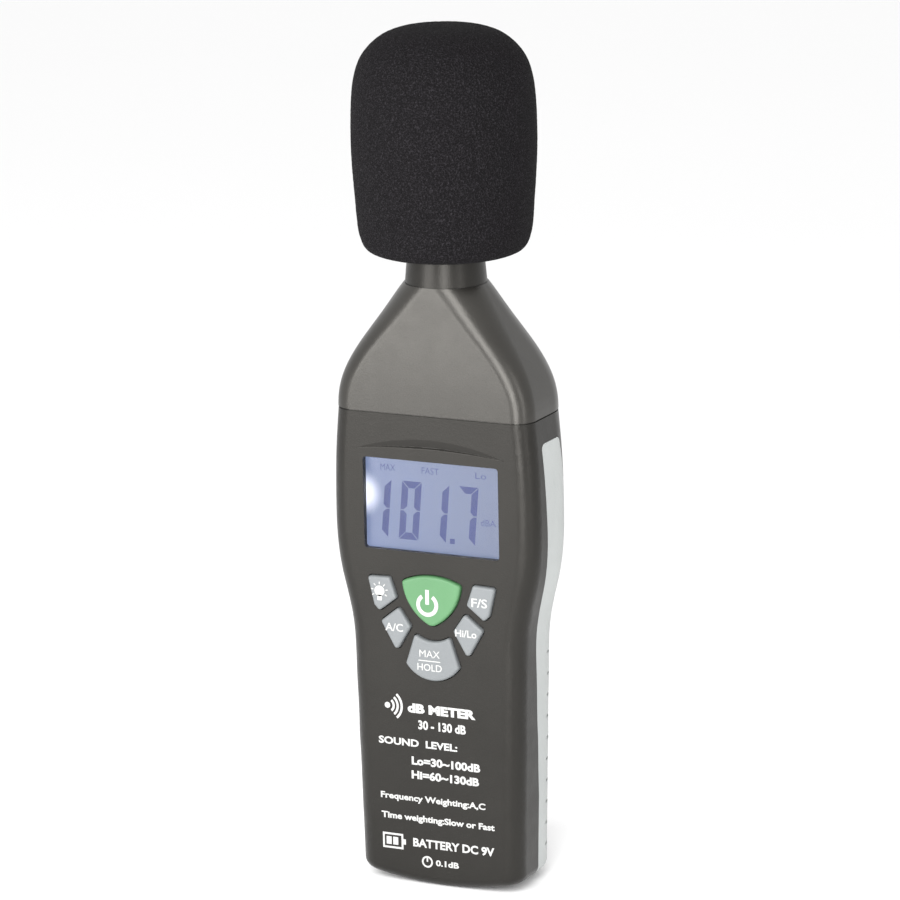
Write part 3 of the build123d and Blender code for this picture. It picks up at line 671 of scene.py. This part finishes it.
def ring_sector(
    centre: Place, inner: float, outer: float, start: float = 0, end: float = 360
) -> Mesh:
    """Flat part of a ring in the XY plane, or the whole ring.

    Args:
        centre: its centre in millimetres.
        inner: inner radius in millimetres.
        outer: outer radius in millimetres.
        start: first angle in degrees, from +X.
        end: last angle.

    Returns:
        The mesh.
    """
    steps = max(6, int(abs(end - start) / 8))
    outline = []
    for radius, order in ((outer, range(steps + 1)), (inner, range(steps, -1, -1))):
        for step in order:
            angle = math.radians(start + (end - start) * step / steps)
            x, y = radius * math.cos(angle), radius * math.sin(angle)
            outline.append((centre[0] + x, centre[1] + y))
    return slab(outline)


def bar(left: float, right: float, low: float, high: float) -> Mesh:
    """Flat bar in the XY plane.

    Args:
        left: its left edge in millimetres.
        right: its right edge.
        low: its lower edge.
        high: its upper edge.

    Returns:
        The mesh.
    """
    return slab([(left, low), (right, low), (right, high), (left, high)])


def slab(outline: list[Place], thickness: float = INK_THICKNESS) -> Mesh:
    """Closed flat solid of an outline in the XY plane.

    Args:
        outline: corner points in order, in millimetres.
        thickness: height of the solid in metres, centred on the plane.

    Returns:
        The mesh.
    """
    mesh = bpy.data.meshes.new("slab")
    work = bmesh.new()
    lower = [work.verts.new((x * MM, y * MM, -thickness / 2)) for x, y in outline]
    base = work.faces.new(lower)
    grown = bmesh.ops.extrude_face_region(work, geom=[base])
    for item in grown["geom"]:
        if isinstance(item, bmesh.types.BMVert):
            item.co.z += thickness
    bmesh.ops.recalc_face_normals(work, faces=work.faces)
    bmesh.ops.triangulate(work, faces=work.faces)
    work.to_mesh(mesh)
    work.free()
    return mesh


def join(name: str, meshes: list[Mesh]) -> Piece:
    """Joins meshes that already lie in place.

    Args:
        name: name of the new piece.
        meshes: the meshes, which are used up.

    Returns:
        The piece.
    """
    work = bmesh.new()
    for mesh in meshes:
        work.from_mesh(mesh)
        bpy.data.meshes.remove(mesh)
    merged = bpy.data.meshes.new(name)
    work.to_mesh(merged)
    work.free()
    return add_object(name, merged)


# ---- case ----
@dataclass
class Brow:
    """Soft arched hollow above the display; sizes in millimetres."""

    half_width: float = 19.8
    end_z: float = 110.2
    top_z: float = 113.7
    low_z: float = 111.35
    depth_share: float = 0.22
    turn: float = 0.80
    columns: int = 96
    rows: int = 44
    reach: float = 20.4
    under_z: float = 109.9
    over_z: float = 114.1
    face_y: float = -9.5
    skin_y: float = -9.9

    def arc(self, x: float, crown: float) -> float:
        """Height of a circular arc through both ends of the hollow.

        Args:
            x: place across the case.
            crown: height of the arc in the middle.

        Returns:
            The height at x.
        """
        rise = crown - self.end_z
        radius = (self.half_width ** 2 + rise ** 2) / (2 * rise)
        return crown - radius + math.sqrt(max(radius ** 2 - x ** 2, 0.0))

    def depth(self, x: float, z: float) -> float:
        """Depth of the hollow below the front face.

        Args:
            x: place across the case.
            z: height.

        Returns:
            The depth, or 0 outside the hollow.
        """
        if abs(x) >= self.half_width:
            return 0.0
        top, low = self.arc(x, self.top_z), self.arc(x, self.low_z)
        share = (top - z) / max(top - low, SLIVER)
        if not 0.0 < share < 1.0:
            return 0.0
        back = min(max((share - self.turn) / (1.0 - self.turn), 0.0), 1.0)
        fade = 1.0 - back * back * (3.0 - 2.0 * back)
        return self.depth_share * (top - low) * share ** 1.2 * fade

    def carve(self, work: bmesh.types.BMesh) -> None:
        """Refines the front face above the display and presses the hollow into it.

        Args:
            work: mesh of the front case.
        """
        left, right, low, high = -self.reach, self.reach, self.under_z, self.over_z
        region = [
            face for face in work.faces
            if face.normal.y < -0.1 and face.calc_center_median().y < self.face_y * MM
        ]
        region = self.cut(work, region, [left, right], [low, high])
        columns = [left + (right - left) * i / self.columns for i in range(1, self.columns)]
        rows = [low + (high - low) * i / self.rows for i in range(1, self.rows)]
        inner = [face for face in region if self.covers(face.calc_center_median() / MM)]
        self.cut(work, inner, columns, rows)
        touched = {
            vertex for face in work.faces for vertex in face.verts
            if self.covers(vertex.co / MM) and vertex.co.y / MM < self.skin_y
        }
        for vertex in touched:
            x, z = vertex.co.x / MM, vertex.co.z / MM
            vertex.co.y = -(FACE.depth(vertex.co.z) - self.depth(x, z) * MM)
        bmesh.ops.remove_doubles(work, verts=list(touched), dist=WELD)
        bmesh.ops.dissolve_degenerate(work, edges=work.edges, dist=FINE_SLIVER)
        faces = [face for face in work.faces if len(face.verts) > 4]
        bmesh.ops.triangulate(work, faces=faces)

    def covers(self, place: Vector) -> bool:
        """Whether a place lies in the refined region, seen from the front.

        Args:
            place: the place in millimetres.

        Returns:
            True inside its edges.
        """
        return -self.reach < place.x < self.reach and self.under_z < place.z < self.over_z

    def cut(
        self, work: bmesh.types.BMesh, faces: list, columns: list[float], rows: list[float]
    ) -> list[bmesh.types.BMFace]:
        """Cuts faces along upright and level planes.

        Args:
            work: the mesh.
            faces: faces to cut.
            columns: places of the upright planes, in millimetres.
            rows: heights of the level planes, in millimetres.

        Returns:
            The faces after cutting.
        """
        planes = [(Vector((x * MM, 0, 0)), Vector((1, 0, 0))) for x in columns]
        planes += [(Vector((0, 0, z * MM)), Vector((0, 0, 1))) for z in rows]
        geometry = list({item for face in faces for item in (face, *face.edges, *face.verts)})
        for place, normal in planes:
            result = bmesh.ops.bisect_plane(
                work, geom=geometry, plane_co=place, plane_no=normal, dist=FINE_SLIVER
            )
            geometry = result["geom"]
        return [item for item in geometry if isinstance(item, bmesh.types.BMFace)]


@dataclass
class Housing:
    """Front and rear case, head cover, collar, grips and battery door."""

    nodes: dict
    SKINS: ClassVar[dict] = {
        "front_case": CASE, "rear_case": CASE, "head_cover": HEAD_PAINTED_HIGHLIGHT, "neck_collar": CASE,
        "grip_left": GRIP, "grip_right": GRIP, "battery_door": CASE,
    }

    def build(self) -> None:
        """Welds and smooths each shell and gives it its grain."""
        finishes: dict = {}
        for name, finish in self.SKINS.items():
            shape = Brow().carve if name == "front_case" else None
            piece = smooth_copy(self.nodes[name], name + "_skin", shape=shape)
            if finish.name not in finishes:
                finishes[finish.name] = finish.material()
            dress(piece, finishes[finish.name])
            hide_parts(name)
            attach(piece, "battery_door" if name == "battery_door" else ROOT)
            LOG.info("housing: %s", piece.name)


@dataclass
class FrontPrint:
    """Generic lettering on the lower front face."""

    lines: tuple = (
        Lettering("dB METER", -7.4, 11.0, 44.5, 46.6, 0.055),
        Lettering("30 - 130 dB", -4.6, 8.3, 40.4, 42.5, 0.035),
        Lettering("SOUND  LEVEL:", -15.5, 5.9, 35.7, 37.4, 0.035),
        Lettering("Lo=30~100dB", -6.6, 12.0, 31.1, 33.0, 0.04),
        Lettering("Hi=60~130dB", -6.7, 11.6, 27.5, 29.4, 0.04),
        Lettering("Frequency Weighting:A,C", -15.3, 13.2, 21.6, 23.1, 0.03),
        Lettering("Time weighting:Slow or Fast", -15.2, 15.6, 16.5, 18.0, 0.035),
        Lettering("BATTERY DC 9V", -6.7, 15.4, 9.9, 11.9, 0.035),
        Lettering("0.1dB", -0.6, 5.7, 5.5, 6.9, 0.035),
    )

    def pictograms(self) -> list[Mesh]:
        """Sound waves beside the title, and a battery and a dial beside the last lines.

        Returns:
            Their meshes.
        """
        source = (-12.9, 45.6)
        waves = [ring_sector(source, 0.0, 0.75)]
        waves += [ring_sector(source, r - 0.3, r + 0.3, -50, 50) for r in (1.7, 2.8, 3.9)]
        battery = [
            bar(-15.0, -9.4, 12.1, 12.6), bar(-15.0, -9.4, 8.6, 9.1), bar(-15.0, -14.5, 9.1, 12.1),
            bar(-9.9, -9.4, 9.1, 12.1), bar(-9.4, -8.7, 9.9, 11.3), bar(-14.0, -12.6, 9.6, 11.6),
            bar(-12.2, -10.8, 9.6, 11.6),
        ]
        dial = [ring_sector((-2.9, 6.2), 1.05, 1.5), bar(-3.1, -2.7, 6.2, 7.3)]
        return waves + battery + dial

    def build(self) -> None:
        """Prints the lines and the pictograms."""
        meshes = [line.mesh() for line in self.lines] + self.pictograms()
        for mesh in meshes:
            FACE.lay(mesh, PRINT_GAP)
        piece = join("front_print", meshes)
        dress(piece, LEGEND.material())
        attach(piece, ROOT)
        LOG.info("print: %s", piece.name)


# ---- keys ----
@dataclass
class Keypad:
    """Six rubber keys with printed legends."""

    nodes: dict
    height: float = 1.1 * MM
    ink: float = INK_THICKNESS
    LEVELS: ClassVar[dict] = {
        "key_weighting": 66.4, "key_fast_slow": 74.8, "key_range": 66.4,
        "key_max_hold": 60.8, "key_power": 73.6, "key_backlight": 74.8,
    }

    LEGENDS: ClassVar[dict] = {
        "key_weighting": [Lettering("A/C", -12.4, -7.6, 65.1, 67.0, 0.015)],
        "key_fast_slow": [Lettering("F/S", 11.0, 15.2, 73.4, 75.5, 0.015)],
        "key_range": [Lettering("Hi/Lo", 6.5, 12.2, 65.5, 67.2, 0.02)],
        "key_max_hold": [
            Lettering("MAX", -3.3, 2.2, 59.3, 61.1, 0.0),
            Lettering("HOLD", -3.9, 2.7, 55.9, 57.6, 0.01),
        ],
    }

    def symbols(self, name: str) -> list[Mesh]:
        """Lettering and drawn symbols of one key.

        Args:
            name: the key's node.

        Returns:
            Their meshes.
        """
        if name in self.LEGENDS:
            rule = [bar(-3.6, 2.3, 58.25, 58.5)] if name == "key_max_hold" else []
            return [line.mesh() for line in self.LEGENDS[name]] + rule
        if name == "key_power":
            return [ring_sector((-0.9, 72.6), 1.95, 2.95, 124, 416), bar(-1.4, -0.4, 72.7, 76.4)]
        x, z = -13.8, 74.9
        lamp = [ring_sector((x, z), 0.0, 1.35), bar(-14.4, -13.2, 72.5, 73.9)]
        ray = [(1.65, -0.13), (2.3, -0.13), (2.3, 0.13), (1.65, 0.13)]
        for degrees in range(-30, 250, 40):
            c, s = math.cos(math.radians(degrees)), math.sin(math.radians(degrees))
            lamp.append(slab([(x + a * c - b * s, z + a * s + b * c) for a, b in ray]))
        return lamp

    def build(self) -> None:
        """Smooths the keys, prints their legends and lets both travel together."""
        grey, green, ink = KEY_GREY.material(), KEY_GREEN.material(), LEGEND.material()
        for name, level in self.LEVELS.items():
            cap = smooth_copy(self.nodes[name], name + "_cap")
            dress(cap, green if name == "key_power" else grey)
            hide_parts(name)
            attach(cap, name)
            meshes = self.symbols(name)
            for mesh in meshes:
                FACE.lay(mesh, self.height + self.ink, level * MM)
            legend = join(name + "_legend", meshes)
            dress(legend, ink)
            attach(legend, name)
            LOG.info("key: %s with %s", cap.name, legend.name)


# ---- display ----
@dataclass
class Readout:
    """Liquid crystal panel with its figures; sizes in millimetres."""

    nodes: dict
    front: float = 0.0081
    height: float = 14.7
    width: float = 5.3
    stroke: float = 1.75
    slant: float = 0.085
    base_z: float = 87.7
    gap: float = 0.14

    SEGMENTS: ClassVar[dict] = {"0": "abcdef", "1": "bc", "7": "abc"}
    LABELS: ClassVar[tuple] = (
        ("MAX", -14.5, -10.5, 104.6), ("FAST", -3.4, 1.2, 104.6),
        ("Lo", 11.0, 13.9, 104.6), ("dBA", 12.3, 16.3, 93.0),
    )

    def segment(self, letter: str) -> list[Place]:
        """Outline of one segment of a figure, before slanting.

        Args:
            letter: the segment, a to f from the top round to the right.

        Returns:
            Its corner points.
        """
        w, h, s, gap = self.width, self.height, self.stroke, self.gap
        over, under = h / 2 + gap, h / 2 - gap
        bevel_over, bevel_under = h / 2 + s / 2 + gap, h / 2 - s / 2 - gap
        top, foot = h - s - gap, s + gap
        shapes = {
            "a": [(gap, h), (w - gap, h), (w - s - gap / 2, h - s), (s + gap / 2, h - s)],
            "b": [(w, h - gap), (w, over), (w - s / 2, over), (w - s, bevel_over), (w - s, top)],
            "c": [(w, under), (w, gap), (w - s, foot), (w - s, bevel_under), (w - s / 2, under)],
            "d": [(s + gap / 2, s), (w - s - gap / 2, s), (w - gap, 0), (gap, 0)],
            "e": [(0, under), (s / 2, under), (s, bevel_under), (s, foot), (0, gap)],
            "f": [(0, h - gap), (s, top), (s, bevel_over), (s / 2, over), (0, over)],
        }
        return shapes[letter]

    def figure(self, digit: str, x: float) -> list[Mesh]:
        """One figure of the reading.

        Args:
            digit: which figure.
            x: where its foot starts.

        Returns:
            The meshes of its segments.
        """
        meshes = []
        for letter in self.SEGMENTS[digit]:
            outline = [(x + u + v * self.slant, self.base_z + v) for u, v in self.segment(letter)]
            meshes.append(slab(outline, SEGMENT_THICKNESS))
        return meshes

    def piece(self, name: str, meshes: list[Mesh], finish: PrintedInk) -> Piece:
        """Stands meshes drawn in the XY plane just in front of the panel.

        Args:
            name: name of the new piece.
            meshes: the meshes, which are used up.
            finish: their ink.

        Returns:
            The piece.
        """
        for mesh in meshes:
            for vertex in mesh.vertices:
                u, v, w = vertex.co
                vertex.co = (u, -(self.front + SEGMENT_THICKNESS + w), v)
        piece = join(name, meshes)
        dress(piece, finish.material())
        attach(piece, ROOT)
        return piece

    def build(self) -> None:
        """Dresses the panel and sets its figures and annunciators."""
        dress(self.nodes["display_glass"], DISPLAY.material())
        figures = []
        for digit, x in (("1", -18.1), ("0", -9.9), ("1", -2.5), ("7", 5.3)):
            figures += self.figure(digit, x)
        point = [(3.9, 87.7), (5.2, 87.7), (5.3, 89.0), (4.0, 89.0)]
        figures.append(slab(point, SEGMENT_THICKNESS))
        figures_piece = self.piece("display_figures", figures, SEGMENT)
        labels = [
            Lettering(text, left, right, base, base + 1.6, 0.0, SEGMENT_THICKNESS).mesh()
            for text, left, right, base in self.LABELS
        ]
        labels_piece = self.piece("display_labels", labels, FAINT_SEGMENT)
        LOG.info("display: %s and %s", figures_piece.name, labels_piece.name)


# ---- windscreen ----
@dataclass
class Windscreen:
    """Foam windscreen: a revolved profile roughened by open cells."""

    base_z: float = 157.9 * MM
    top_z: float = 213.6 * MM
    radius: float = 22.5 * MM
    bore: float = 6.7 * MM
    bore_top_z: float = 187.6 * MM
    around: int = 380
    rings: int = 246
    cell: float = 0.0009
    depth: float = 0.00016
    lump_scale: float = 260.0
    bore_margin: float = 0.0006
    steps: int = 40

    @staticmethod
    def between(first: Vector, last: Vector, low: float, high: float, t: float) -> Vector:
        """Point on the line through two places.

        Args:
            first: the place at low.
            last: the place at high.
            low: start of the span.
            high: end of the span.
            t: where in the span.

        Returns:
            The point.
        """
        return first * ((high - t) / (high - low)) + last * ((t - low) / (high - low))

    def profile(self) -> list[Place]:
        """Outer profile from the rim of the bore up to the crown.

        Returns:
            Points as (radius, height), evenly spaced along it.
        """
        r, low, high = self.radius, self.base_z, self.top_z
        points = [
            (self.bore, low), (r - 11.0 * MM, low), (r - 7.5 * MM, low),
            (r - 3.4 * MM, low + 1.5 * MM), (r - 1.8 * MM, low + 4.5 * MM),
            (r - 0.75 * MM, low + 14 * MM), (r, low + 29 * MM),
            (r - 0.9 * MM, high - 12.7 * MM), (r - 3.0 * MM, high - 7.1 * MM),
            (r - 7.2 * MM, high - 2.9 * MM), (r - 11.7 * MM, high - 1.0 * MM),
            (r - 17 * MM, high - 0.25 * MM), (0.0, high),
        ]
        dense = []
        padded = [points[0]] + points + [(-points[-2][0], points[-2][1])]
        for index in range(len(points) - 1):
            p = [Vector(q) for q in padded[index:index + 4]]
            knots = [0.0]
            for a, b in zip(p, p[1:]):
                knots.append(knots[-1] + max((b - a).length, 1e-6) ** 0.5)
            k0, k1, k2, k3 = knots
            for step in range(self.steps):
                t = k1 + (k2 - k1) * step / self.steps
                a1 = self.between(p[0], p[1], k0, k1, t)
                a2 = self.between(p[1], p[2], k1, k2, t)
                a3 = self.between(p[2], p[3], k2, k3, t)
                b1 = self.between(a1, a2, k0, k2, t)
                b2 = self.between(a2, a3, k1, k3, t)
                dense.append(self.between(b1, b2, k1, k2, t))
        dense.append(Vector(points[-1]))
        lengths = [0.0]
        for a, b in zip(dense, dense[1:]):
            lengths.append(lengths[-1] + (b - a).length)
        result, cursor = [], 0
        for ring in range(self.rings + 1):
            wanted = lengths[-1] * ring / self.rings
            while cursor < len(lengths) - 2 and lengths[cursor + 1] < wanted:
                cursor += 1
            share = (wanted - lengths[cursor]) / max(lengths[cursor + 1] - lengths[cursor], 1e-9)
            result.append(tuple(dense[cursor].lerp(dense[cursor + 1], share)))
        return result

    def shell(self) -> Mesh:
        """Revolves the profile, with the bore and its blind end.

        Returns:
            The closed mesh.
        """
        work = bmesh.new()
        column = [(share * self.bore, self.bore_top_z) for share in (0.0, 0.5, 1.0)]
        column += [(self.bore, self.base_z + 12 * MM), *self.profile()]
        rows = []
        for radius, height in column:
            if radius < 1e-6:
                rows.append([work.verts.new((0.0, 0.0, height))])
                continue
            row = []
            for index in range(self.around):
                angle = 2 * math.pi * index / self.around
                x, y = radius * math.cos(angle), radius * math.sin(angle)
                row.append(work.verts.new((x, y, height)))
            rows.append(row)
        for lower, upper in zip(rows, rows[1:]):
            for index in range(self.around):
                after = (index + 1) % self.around
                if len(lower) == 1:
                    work.faces.new((lower[0], upper[after], upper[index]))
                elif len(upper) == 1:
                    work.faces.new((lower[index], lower[after], upper[0]))
                else:
                    work.faces.new((lower[index], lower[after], upper[after], upper[index]))
        bmesh.ops.recalc_face_normals(work, faces=work.faces)
        for face in work.faces:
            face.smooth = True
        mesh = bpy.data.meshes.new("windscreen_foam")
        work.to_mesh(mesh)
        work.free()
        return mesh

    def cells_tree(self, material: Material) -> bpy.types.NodeTree:
        """Node tree that presses open cells into a surface.

        Args:
            material: finish of the result.

        Returns:
            The tree, with inputs for cell size, depth and bore radius.
        """
        tree = bpy.data.node_groups.new("open_cells", "GeometryNodeTree")
        face = tree.interface
        face.new_socket("Geometry", in_out="INPUT", socket_type="NodeSocketGeometry")
        defaults = {"Cell size": self.cell, "Depth": self.depth, "Bore radius": self.bore}
        for name, value in defaults.items():
            socket = face.new_socket(name, in_out="INPUT", socket_type="NodeSocketFloat")
            socket.default_value = value
        face.new_socket("Geometry", in_out="OUTPUT", socket_type="NodeSocketGeometry")
        new, link = tree.nodes.new, tree.links.new
        start, end = new("NodeGroupInput"), new("NodeGroupOutput")
        place, normal = new("GeometryNodeInputPosition"), new("GeometryNodeInputNormal")
        cells = new("ShaderNodeTexVoronoi")
        link(place.outputs[0], cells.inputs["Vector"])
        inverse = calculate(tree, Operation.DIVIDE, 1.0, start.outputs["Cell size"])
        link(inverse, cells.inputs["Scale"])
        lumps = new("ShaderNodeTexNoise")
        lumps.inputs["Scale"].default_value = self.lump_scale
        lumps.inputs["Detail"].default_value = 4.0
        link(place.outputs[0], lumps.inputs["Vector"])
        mixed = calculate(
            tree, Operation.MULTIPLY, cells.outputs["Distance"], lumps.outputs["Fac"]
        )
        away = new("ShaderNodeVectorMath")
        away.operation = "MULTIPLY"
        away.inputs[1].default_value = (1.0, 1.0, 0.0)
        link(place.outputs[0], away.inputs[0])
        reach = new("ShaderNodeVectorMath")
        reach.operation = "LENGTH"
        link(away.outputs[0], reach.inputs[0])
        margin = calculate(tree, Operation.ADD, start.outputs["Bore radius"], self.bore_margin)
        outside = calculate(tree, Operation.GREATER, reach.outputs["Value"], margin)
        high = new("ShaderNodeSeparateXYZ")
        link(place.outputs[0], high.inputs[0])
        crown = self.bore_top_z + 4 * MM
        above = calculate(tree, Operation.GREATER, high.outputs["Z"], crown)
        either = calculate(tree, Operation.LARGEST, outside, above)
        amount = calculate(tree, Operation.MULTIPLY, mixed, start.outputs["Depth"])
        masked = calculate(tree, Operation.MULTIPLY, amount, either)
        offset = new("ShaderNodeVectorMath")
        offset.operation = "SCALE"
        link(normal.outputs[0], offset.inputs[0])
        link(masked, offset.inputs["Scale"])
        move = new("GeometryNodeSetPosition")
        link(start.outputs["Geometry"], move.inputs["Geometry"])
        link(offset.outputs[0], move.inputs["Offset"])
        real = new("GeometryNodeRealizeInstances")
        link(move.outputs[0], real.inputs[0])
        paint = new("GeometryNodeSetMaterial")
        paint.inputs["Material"].default_value = material
        link(real.outputs[0], paint.inputs["Geometry"])
        link(paint.outputs[0], end.inputs[0])
        return tree

    def build(self) -> None:
        """Makes the foam and lets it ride on its own body."""
        material = FOAM.material()
        piece = add_object("windscreen_foam", self.shell())
        dress(piece, material)
        modifier = piece.modifiers.new("open_cells", "NODES")
        tree = self.cells_tree(material)
        modifier.node_group = tree
        values = {"Cell size": self.cell, "Depth": -self.depth, "Bore radius": self.bore}
        for item in tree.interface.items_tree:
            if item.in_out == "INPUT" and item.name in values:
                modifier[item.identifier] = values[item.name]
        apply_modifiers(piece)
        dress(piece, material)
        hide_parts("windscreen")
        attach(piece, "windscreen")
        LOG.info("windscreen: %d faces", len(piece.data.polygons))


# ---- everything else ----
@dataclass
class InnerParts:
    """Parts inside the case, which keep their CAD shape and get their own finish."""

    nodes: dict

    def build(self) -> None:
        """Dresses every inner part."""
        ready: dict = {}
        for name, finish in INSIDE_FINISHES.items():
            if finish.name not in ready:
                ready[finish.name] = finish.material()
            dress(self.nodes[name], ready[finish.name])
        LOG.info("inside: %d parts", len(INSIDE_FINISHES))


@dataclass
class Studio:
    """Pale floor, soft light and the camera."""

    azimuth: float = 25.45
    elevation: float = 13.37
    roll: float = -0.86
    distance: float = 1.2194
    target: tuple = (0.0, 0.0, 0.1078)
    shift: tuple = (-0.0003, -0.0011)
    lens: float = 200.0
    sensor: float = 36.0
    reach: float = 6.0
    LIGHTS: ClassVar[tuple] = (
        ("front_box", (-0.215, -0.452, 0.27), (0.0, 0.0, 0.20), (0.28, 0.50), 2.7),
        ("corner_box", (0.150, -0.400, 0.24), (0.0, 0.0, 0.15), (0.16, 0.50), 2.4),
        ("right_strip", (0.50, -0.235, 0.22), (0.0, 0.0, 0.11), (0.10, 0.46), 0.6),
    )

    def camera(self) -> None:
        """Sets up the camera."""
        a, e, r = (math.radians(v) for v in (self.azimuth, self.elevation, self.roll))
        right = Vector((math.cos(a), math.sin(a), 0.0))
        up = Vector((-math.sin(a) * math.sin(e), math.cos(a) * math.sin(e), math.cos(e)))
        toward = Vector((math.sin(a) * math.cos(e), -math.cos(a) * math.cos(e), math.sin(e)))
        turned_right = right * math.cos(r) + up * math.sin(r)
        turned_up = up * math.cos(r) - right * math.sin(r)
        place = Vector(self.target) + toward * self.distance
        place = place - turned_right * self.shift[0] - turned_up * self.shift[1]
        data = bpy.data.cameras.new("camera")
        data.lens = self.lens
        data.sensor_width = self.sensor
        data.clip_start = 0.05
        data.clip_end = 20.0
        camera = bpy.data.objects.new("camera", data)
        matrix = Matrix((turned_right, turned_up, toward)).transposed().to_4x4()
        matrix.translation = place
        camera.matrix_world = matrix
        bpy.context.scene.collection.objects.link(camera)
        bpy.context.scene.camera = camera

    def area(self, name: str, place: tuple, aim: tuple, size: tuple, power: float) -> None:
        """Adds one soft light.

        Args:
            name: its name.
            place: its position.
            aim: the point it faces.
            size: width and height of the panel.
            power: watts.
        """
        data = bpy.data.lights.new(name, "AREA")
        data.shape = "RECTANGLE"
        data.size, data.size_y = size
        data.energy = power
        light = bpy.data.objects.new(name, data)
        light.location = place
        light.rotation_euler = (Vector(aim) - Vector(place)).to_track_quat("-Z", "Y").to_euler()
        light.visible_camera = False
        bpy.context.scene.collection.objects.link(light)

    def floor(self) -> None:
        """Lays the pale floor."""
        mesh = bpy.data.meshes.new("floor")
        square = ((-1, -1), (1, -1), (1, 1), (-1, 1))
        corners = [(x * self.reach, y * self.reach, 0) for x, y in square]
        mesh.from_pydata(corners, [], [(0, 1, 2, 3)])
        piece = add_object("floor", mesh)
        sheet = NodeSheet("pale_floor")
        shader = sheet.principled(Roughness=0.9, Specular_IOR_Level=0.1)
        colour = sheet.blend(sheet.noise(0.4, 2.0), (0.94, 0.94, 0.94), (0.96, 0.96, 0.96))
        sheet.link(colour, shader.inputs["Base Color"])
        dress(piece, sheet.material)

    def build(self) -> None:
        """Sets floor, lights, world and camera."""
        self.floor()
        world = bpy.data.worlds.new("studio")
        world.use_nodes = True
        background = world.node_tree.nodes["Background"]
        background.inputs["Color"].default_value = (1.0, 1.0, 1.0, 1.0)
        background.inputs["Strength"].default_value = 1.0
        bpy.context.scene.world = world
        bpy.context.scene.view_settings.view_transform = "Standard"
        for light in self.LIGHTS:
            self.area(*light)
        self.camera()
        LOG.info("studio ready")


def main() -> None:
    """Builds every sub-assembly in order."""
    logging.basicConfig(level=logging.INFO, format="%(message)s")
    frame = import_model()
    nodes = frame["nodes"]
    Housing(nodes).build()
    FrontPrint().build()
    Keypad(nodes).build()
    Readout(nodes).build()
    Windscreen().build()
    InnerParts(nodes).build()
    Studio().build()


if __name__ == "__main__":
    main()
